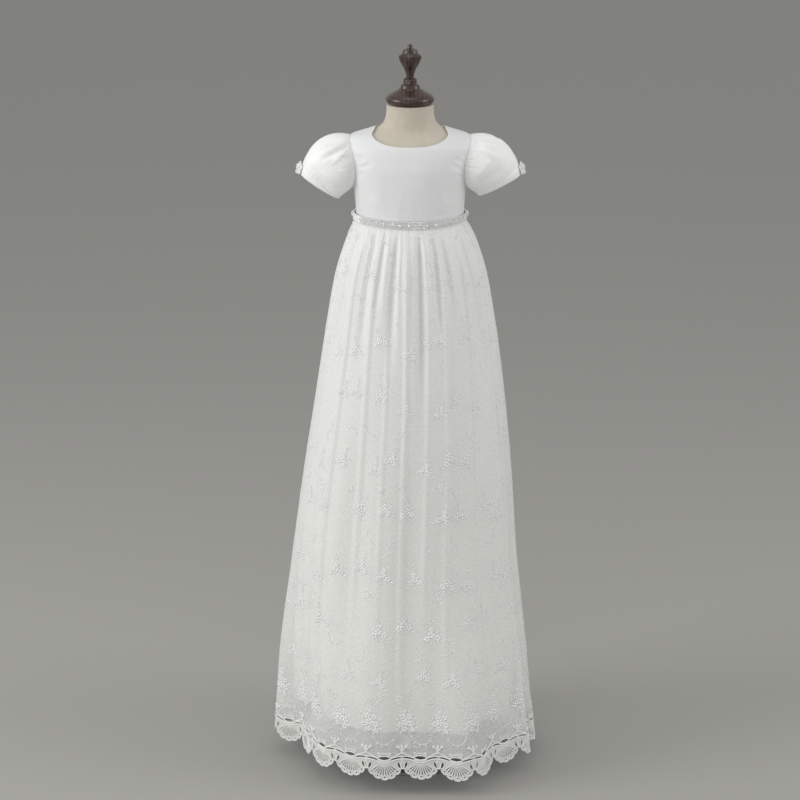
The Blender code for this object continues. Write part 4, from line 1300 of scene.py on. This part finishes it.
def laceCords(width):
    # the lace's cords for one repeat, flat, in millimetres: x from the fan's middle, y down from the border's top
    half = width / 2
    cords = []

    def cord(points, radius, steps=4, ring=False):
        line = smoothLine(points, steps) if steps else points
        cords.append(([(x, y) for x, y in line], radius, ring))

    across = np.linspace(-half, half, 25)
    cord([(x, swagLine(x)) for x in across], 1.05, 0)
    cord([(x, swagLine(x) - 4.3) for x in across], 0.85, 0)
    for side in (-1, 1):
        cord([(side * half, 5), (side * (half - 4), 8.5), (side * 16.5, 12.0), (side * 10.5, 14.6)], 0.95)
        # leaf-like curls at the ends of the arc over the oval
        cord([(0, 7.6), (side * 4, 8.2), (side * 7.6, 10.6), (side * 9.8, 8.8), (side * 8.6, 6.6), (side * 6.4, 7.4)], 0.9)
        # the cords beside the junction's two slots, by how far in from the junction they run
        outer = [(0, 19.0), (2.2, 23.0), (3.0, 27.0), (1.6, 31.2), (0, 33.0)]
        inner = [(6.9, 21.6), (8.4, 26.0), (7.4, 30.4), (4.0, 33.4)]
        cord([(side * (half - x), y) for x, y in outer], 0.8)
        cord([(side * (half - x), y) for x, y in inner], 0.6)
    cord(ringOf(0, 15.5, 9.8, 4.0, 0, 28), 0.95, 0, True)
    for i in range(border["ribs"] + 1):
        t = math.radians(border["fanReach"] * (2 * i / border["ribs"] - 1))
        line = [(r * math.sin(t), border["fanCentre"] + r * math.cos(t)) for r in (6.0, 12.0, 18.0, 23.4)]
        cord(line, 0.62, 0)
    for lobe in range(border["lobes"]):
        t = math.radians((lobe - 2) * border["lobeAngle"])
        cord(ringOf(25.5 * math.sin(t), border["fanCentre"] + 25.5 * math.cos(t), 2.2, 2.0, 0, 10), 0.6, 0, True)
    edge = scallopEdge(width)
    cord([(x * 0.982, y - 0.55) for x, y in edge], 0.85, 0)
    return cords


def junctionCords():
    # a three-armed bud that stands on each junction and reaches up over the net
    cords = [([(0, 8), (0, 4), (0, 0), (0, -3.5), (0, -5.5)], 1.3, False)]
    for side in (-1, 1):
        curl = [(0, 3.5), (2.6, 1.0), (5.2, -2.6), (7.0, -4.4), (8.0, -2.6), (6.4, -1.6)]
        cords.append((smoothLine([(side * x, y) for x, y in curl], 4), 1.2, False))
        cords.append((smoothLine([(0, 0.5), (side * 1.7, -1.8), (side * 1.3, -4.0), (0, -5.6)], 4), 0.6, False))
    return cords


def flatMotif(cords):
    pieces = []
    for line, radius, ring in cords:
        pieces.append(flatCord([(x * mm, -y * mm) for x, y in line], radius * mm, 0.75, 1, ring))
    return joinedMesh(pieces)


def buildBorderCords():
    at = border["measuredAt"]
    for half, first in (("Front", border["join"]), ("Back", border["join"] + 180)):
        start = netCloth.lengthAt(first, at)
        width = (netCloth.lengthAt(first + 180, at) - start) / border["repeats"]
        motifs = {"repeat": flatMotif(laceCords(width / mm)), "junction": flatMotif(junctionCords())}
        places = []
        for repeat in range(border["repeats"]):
            places.append(("repeat", netCloth.angleAt(start + (repeat + 0.5) * width, at), border["top"], 0, 1))
            places.append(("junction", netCloth.angleAt(start + (repeat + 1) * width, at), border["top"], 0, 1))
        cords = laidCopies("hemCords" + half, motifs, places, netCloth, "cord", readAt=at)
        finishPiece(cords, "lace")


buildBorderCords()
print("lace cords laid")


# Embroidery

def flower(x, y, size, turn=0.0):
    # five satin-stitched petals round a knot, in millimetres
    pads = []
    for i in range(5):
        t = turn + 2 * math.pi * i / 5
        pads.append(softPad((x * mm, y * mm), 0.62 * size * mm, 0.46 * size * mm, 0.45 * mm, t, 0.06 * size * mm))
    pads.append(softPad(((x - 0.11 * size) * mm, y * mm), 0.22 * size * mm, 0.22 * size * mm, 0.5 * mm, 0.0))
    return pads


def leaf(x, y, length, turn):
    return [softPad((x * mm, y * mm), length * mm, 0.36 * length * mm, 0.28 * mm, math.radians(turn))]


def stem(points, radius=0.42):
    return [flatCord([(x * mm, y * mm) for x, y in smoothLine(points, 4)], radius * mm, 0.7)]


def spiral(x, y, radius, turns, start, hand):
    points = []
    for i in range(int(10 * turns) + 1):
        share = i / (10 * turns)
        t = math.radians(start) + hand * 2 * math.pi * turns * share
        r = radius * (1 - 0.82 * share)
        points.append(((x + r * math.cos(t)) * mm, (y + r * math.sin(t)) * mm))
    return [flatCord(points, 0.45 * mm, 0.7)]


def embroideryMotifs():
    spray = flower(-1, -2, 9.5) + flower(-8, -7, 8.0, 0.6) + flower(7, -8, 8.5, 1.0) + flower(1, 6, 7.0, 0.3)
    spray += leaf(1, 12, 5.5, 75) + leaf(-1, 14, 5, 120) + leaf(3, 16, 5, 60) + leaf(0, 19, 5, 95)
    spray += leaf(-6, 2, 6, 150) + leaf(6, 0, 6, 20) + leaf(-13, -9, 5, 200) + leaf(12, -12, 5.5, -40)
    spray += leaf(-3, -12, 5, -100)
    spray += stem([(0, -4), (1.5, 5), (0.5, 13), (1.5, 21)]) + stem([(4, -10), (9, -14), (15, -15), (18, -12)])
    big = flower(0, -1, 10.5) + flower(-9, -4, 9, 0.5) + flower(9, -5, 9, 0.9) + flower(-3, 9, 9, 0.2)
    big += flower(7, 7, 8, 0.7) + flower(-3, -12, 8, 1.1) + flower(9, -15, 7.5, 0.3) + flower(1, 18, 6.5, 0.4)
    big += leaf(-9, 4, 7, 150) + leaf(12, 2, 7, 15) + leaf(-13, -9, 6.5, 215) + leaf(14, -10, 6, -35)
    big += leaf(-8, -15, 6, 230) + leaf(-4, 15, 6, 120)
    big += leaf(6, 14, 6, 55) + leaf(2, 22, 5.5, 80) + leaf(-2, 21, 5, 115) + leaf(3, -18, 5.5, -80)
    big += stem([(0, -6), (2, 4), (0, 14), (2, 23)], 0.5) + stem([(-6, 12), (-12, 15), (-16, 12), (-15, 8)])
    sprig = flower(0, 0, 7.5) + flower(5, -6, 6, 0.5) + leaf(-3, 4, 5.5, 130) + leaf(3, 4, 5.5, 60) + leaf(-4, -3, 5, 210)
    sprig += stem([(1, 2), (2, 8), (-1, 13), (1, 17)]) + leaf(0, 10, 4, 150) + leaf(1, 13, 4, 40)
    vine = stem([(-17, -3), (-9, 3), (0, 0), (9, -4), (17, 2)])
    for x, y, turn in ((-12, 2, 110), (-7, 3, -60), (0, 0, 70), (6, -3, -110), (12, -2, 80), (16, 2, 30)):
        vine += leaf(x, y, 5, turn)
    vine += flower(-17, -4, 5.5)
    scroll = spiral(0, 0, 7.5, 1.6, 200, 1) + spiral(15, 5, 6.5, 1.5, 20, -1)
    scroll += stem([(-7, -2), (-5, -8), (4, -10), (13, -5), (20, 2)])
    scroll += leaf(-6, -6, 5, 200) + leaf(4, -10, 5, -60) + leaf(10, -7, 5, 60) + leaf(21, 7, 5, 50)
    tendril = stem([(-12, 4), (-8, -3), (0, -6), (8, -3), (12, 4)]) + stem([(12, 4), (13, 8), (10, 10), (8, 8)])
    for x, y, turn in ((-11, 1, 160), (-6, -4, -120), (0, -6, -80), (6, -4, -50), (11, 1, 20)):
        tendril += leaf(x, y, 4.5, turn)
    return {
        "spray": joinedMesh(spray), "big": joinedMesh(big), "sprig": joinedMesh(sprig),
        "vine": joinedMesh(vine), "scroll": joinedMesh(scroll), "tendril": joinedMesh(tendril),
    }


embroidery = {
    # drop, motif, how far past a junction of the lace (in repeats), every nth repeat, size, loose by (mm), turned by
    "rows": [
        (0.018, "sprig", 0.45, 1, 0.75, 6, 60), (0.046, "vine", 0.10, 2, 0.72, 10, 110),
        (0.080, "spray", 0.20, 1, 0.80, 14, 30), (0.102, "sprig", 0.70, 2, 0.80, 14, 80),
        (0.132, "vine", 0.45, 1, 0.70, 14, 120), (0.176, "spray", 0.75, 1, 0.84, 18, 35),
        (0.222, "tendril", 0.25, 2, 0.8, 16, 150), (0.262, "spray", 0.10, 1, 0.82, 20, 30),
        (0.308, "vine", 0.55, 1, 0.74, 18, 160), (0.353, "spray", 0.60, 1, 0.90, 17, 26),
        (0.394, "sprig", 0.05, 1, 0.85, 18, 100), (0.435, "spray", 0.15, 1, 0.92, 20, 28),
        (0.482, "vine", 0.60, 1, 0.9, 18, 160), (0.528, "spray", 0.62, 1, 0.96, 18, 24),
        (0.567, "sprig", 0.12, 1, 0.9, 16, 100), (0.604, "spray", 0.08, 1, 1.02, 14, 18),
        (0.646, "tendril", 0.58, 1, 1.0, 14, 90), (0.689, "spray", 0.52, 1, 0.95, 10, 18),
        (0.722, "scroll", 0.02, 1, 0.95, 6, 22), (0.757, "big", 0.12, 1, 1.0, 2, 8),
        (0.786, "tendril", 0.52, 1, 1.15, 3, 14),
    ], "leftOut": 0.12, "highest": 0.012, "repeatWidth": 56,
}


def junctionAngle(repeat):
    # the angle of the lace's junction number repeat, counted round from the border's left join
    at, each = border["measuredAt"], border["repeats"]
    repeat = repeat % (2 * each)
    joins = [netCloth.lengthAt(border["join"] + 180 * i, at) for i in range(3)]
    half = int(repeat // each)
    share = repeat / each - half
    return float(netCloth.angleAt(joins[half] + (joins[half + 1] - joins[half]) * share, at))


def layEmbroidery():
    motifs = embroideryMotifs()
    draw = random.Random(21)
    places = {"Front": [], "Back": []}
    total = 2 * border["repeats"]
    for drop, motif, past, every, size, loose, turned in embroidery["rows"]:
        for repeat in range(0, total, every):
            angle = junctionAngle(repeat + past + draw.uniform(-loose, loose) / embroidery["repeatWidth"])
            # the rows by the hem keep their line
            up = draw.uniform(-1, 1) * 0.9 * loose * mm * (0.2 if drop > 0.75 else 1)
            height = max(embroidery["highest"], drop + up)
            if draw.random() < embroidery["leftOut"] and drop < 0.70:
                continue
            hand = 1 if motif == "big" else draw.choice((-1, 1))
            angle = (angle + 180) % 360 - 180
            half = "Front" if abs(angle) < 90 else "Back"
            turn = draw.uniform(-turned, turned)
            places[half].append((motif, angle, height, turn, hand * size * draw.uniform(0.92, 1.06)))
    for half, laid in places.items():
        piece = laidCopies("embroidery" + half, motifs, laid, netCloth, "rayon", lift=0.05 * mm)
        finishPiece(piece, "net")
        print("embroidery", half, len(laid), "motifs", len(piece.data.polygons), "faces")


layEmbroidery()
print("embroidery laid")


# Seams, stitches and the small trims

trim = {
    "pipingRadius": 0.75 * mm, "stitchLength": 1.7 * mm, "stitchStep": 2.9 * mm,
    "threadWidth": 0.48 * mm, "threadHeight": 0.44 * mm,
    "neckStitches": 4.0 * mm, "cuffStitches": 5.6 * mm, "closingStitches": 5.0 * mm, "hemStitches": 12.6 * mm,
}


def cordAlong(name, points, radius, finish, ring=False, sides=2):
    cord = roundCord(points, radius, sides, ring)
    cord.name = name
    cord.data.materials.clear()
    cord.data.materials.append(finishes[finish])
    bpy.ops.object.shade_smooth()
    return cord


def lineInside(grid, distance):
    # the line on a cloth grid that runs this far from its last row, with the cloth's normals
    normals = gridNormals(grid, False)
    down = lengthsAlong(grid[::-1], 0)
    points, facing = [], []
    for column in range(grid.shape[1]):
        at = np.interp(distance, down[:, column], np.arange(len(grid)))
        low = min(int(at), len(grid) - 2)
        share = at - low
        flipped, flippedNormals = grid[::-1][:, column], normals[::-1][:, column]
        points.append(flipped[low] * (1 - share) + flipped[low + 1] * share)
        facing.append(flippedNormals[low])
    return np.array(points), np.array(facing)


def stitches(name, lines, finish, slotName):
    bpy.ops.mesh.primitive_uv_sphere_add(segments=6, ring_count=4, radius=1.0)
    flat, padFaces = joinedMesh([bpy.context.object])
    points, faces, count = [], [], 0
    for line, facing in lines:
        length = lengthsAlong(line[:, None], 0)[:, 0]
        for at in np.arange(trim["stitchStep"] / 2, length[-1], trim["stitchStep"]):
            i = min(int(np.searchsorted(length, at)), len(line) - 1)
            i = max(i, 1)
            share = (at - length[i - 1]) / max(length[i] - length[i - 1], 1e-9)
            place = line[i - 1] * (1 - share) + line[i] * share
            along = (line[i] - line[i - 1]) / np.linalg.norm(line[i] - line[i - 1])
            out = facing[i]
            side = np.cross(out, along)
            points.append(
                place + flat[:, [0]] * along * trim["stitchLength"] / 2 + flat[:, [1]] * side * trim["threadWidth"] / 2
                + (flat[:, [2]] * trim["threadHeight"] / 2 + 0.04 * mm) * out
            )
            faces += [tuple(k + count for k in face) for face in padFaces]
            count += len(flat)
    piece = meshPiece(name, np.concatenate(points), faces, finish)
    selectOnly(piece)
    bpy.ops.object.mode_set(mode="EDIT")
    bpy.ops.mesh.select_all(action="SELECT")
    bpy.ops.mesh.normals_make_consistent(inside=False)
    bpy.ops.object.mode_set(mode="OBJECT")
    piece.data.shade_smooth()
    return finishPiece(piece, slotName)


def buildSeams():
    neck = [lineInside(grid, trim["neckStitches"]) for grid in bodiceGrids.values()]
    # the closing's stitches run beside the centre back, on both its sides
    closing = []
    for name, order in (("bodiceBackRight", 1), ("bodiceBackLeft", -1)):
        line, _ = lineInside(np.swapaxes(bodiceGrids[name], 0, 1)[::order], trim["closingStitches"])
        closing.append((line, np.array([(0, 1, 0)] * len(line))))
    stitches("bodiceStitches", neck + closing, "rayon", "satin")
    cuffs = [lineInside(grid, trim["cuffStitches"]) for grid in sleeveGrids.values()]
    stitches("cuffStitches", cuffs, "rayon", "satin")
    hems = []
    for first in (-90, 90):
        grid = hangingGrid(liningSurface, first, skirt["liningBottom"], 120, 84)
        line, inwards = lineInside(grid[::-1], trim["hemStitches"])
        hems.append((line, -inwards))
    stitches("underSkirtStitches", hems, "rayon", "satin")
    for side, grid in sleeveGrids.items():
        ring = grid[0][:-1] + (grid[0][:-1] - grid[1][:-1]) * 0.35
        piping = cordAlong("armholePiping" + side.capitalize(), ring.tolist(), trim["pipingRadius"], "satin", ring=True)
        finishPiece(piping, "satin")
    # a concealed zip shows as one closed seam with its small pull at the neck
    back = bodiceGrids["bodiceBackRight"][:, -1]
    seam = back + np.array([0, 0.1 * mm, 0])
    seam[:, 0] = 0
    finishPiece(cordAlong("closingSeam", seam.tolist(), 0.45 * mm, "satin"), "satin")
    top = back[-1]
    bpy.ops.mesh.primitive_uv_sphere_add(segments=16, ring_count=10, radius=1.0)
    pull = bpy.context.object
    pull.name = "zipPull"
    pull.scale = (1.5 * mm, 0.6 * mm, 4.6 * mm)
    pull.location = (0, top[1] + 1.5 * mm, top[2] - 7.0 * mm)
    bpy.ops.object.transform_apply(location=True, rotation=True, scale=True)
    pull.data.materials.append(finishes["satin"])
    bpy.ops.object.shade_smooth()
    finishPiece(pull, "satin")
    for name, first in (("Left", -90), ("Right", 90)):
        drops = np.linspace(0.012, skirt["netBottom"] - 0.001, 120)
        line = netCloth.at(np.full(120, float(first)), drops, np.full(120, -0.1 * mm))
        finishPiece(cordAlong("netSeam" + name, line.tolist(), 0.5 * mm, "tulle", sides=1), "net")


cuffFlower = {
    "facing": (0.86, -0.42, 0.28), "aboveTip": 8.5 * mm, "off": 1.9 * mm,
    "petalLength": 9.0 * mm, "petalWidth": 8.0 * mm, "petalMiddle": 5.7 * mm,
    "rim": (4.2 * mm, 3.7 * mm), "rimCord": 0.65 * mm, "rimLift": 0.9 * mm, "veins": (-0.32, 0, 0.32), "veinCord": 0.4 * mm,
    "bead": 1.7 * mm, "seedBead": 0.7 * mm, "seedBeads": 8, "seedRing": 2.6 * mm,
}


def buildCuffFlower(side):
    sign, tipX, tipHeight = sleeves[side][:3]
    facing = np.array(cuffFlower["facing"]) * (sign, 1, 1)
    facing /= np.linalg.norm(facing)
    across = np.cross((0, 0, 1.0), facing)
    across /= np.linalg.norm(across)
    up = np.cross(facing, across)
    centre = np.array([sign * tipX, 0, tipHeight + cuffFlower["aboveTip"]]) + facing * cuffFlower["off"]
    parts = []
    for i in range(5):
        t = math.pi / 2 + 2 * math.pi * i / 5
        parts.append(softPad((0, 0), cuffFlower["petalLength"], cuffFlower["petalWidth"], 1.0 * mm, t, 1.1 * mm))
        middle = cuffFlower["petalMiddle"]
        rim = ringOf(middle * math.cos(t), middle * math.sin(t), *cuffFlower["rim"], math.degrees(t), 18)
        parts.append(flatCord(rim, cuffFlower["rimCord"], 0.9, 1, True, cuffFlower["rimLift"]))
        for turn in cuffFlower["veins"]:
            vein = [(r * math.cos(t + turn) * mm, r * math.sin(t + turn) * mm) for r in (2.2, 5.0, 8.2)]
            parts.append(flatCord(vein, cuffFlower["veinCord"], 1.3, 0))
    flat, petalFaces = joinedMesh(parts)
    bead, ring, count = cuffFlower["bead"], cuffFlower["seedRing"], cuffFlower["seedBeads"]
    bpy.ops.mesh.primitive_uv_sphere_add(segments=14, ring_count=9, radius=bead, location=(0, 0, bead))
    beads = [bpy.context.object]
    bpy.ops.object.transform_apply(location=True, rotation=True, scale=True)
    for i in range(count):
        t = 2 * math.pi * i / count
        place = (ring * math.cos(t), ring * math.sin(t), 1.3 * mm)
        bpy.ops.mesh.primitive_ico_sphere_add(subdivisions=1, radius=cuffFlower["seedBead"], location=place)
        beads.append(bpy.context.object)
        bpy.ops.object.transform_apply(location=True, rotation=True, scale=True)
    beadPoints, beadFaces = joinedMesh(beads)
    for name, points, faces, finish, slotName, replaced in (
        ("cuffFlower", flat, petalFaces, "cord", "lace", ["cuff_flower_" + side]),
        ("cuffBeads", beadPoints, beadFaces, "pearl", "beads", []),
    ):
        placed = centre + points[:, [0]] * across + points[:, [1]] * up + points[:, [2]] * facing
        piece = meshPiece(name + side.capitalize(), placed, faces, finish)
        piece.data.shade_smooth()
        finishPiece(piece, slotName, *replaced)


buildSeams()
buildCuffFlower("left")
buildCuffFlower("right")
print("seams and trims built")
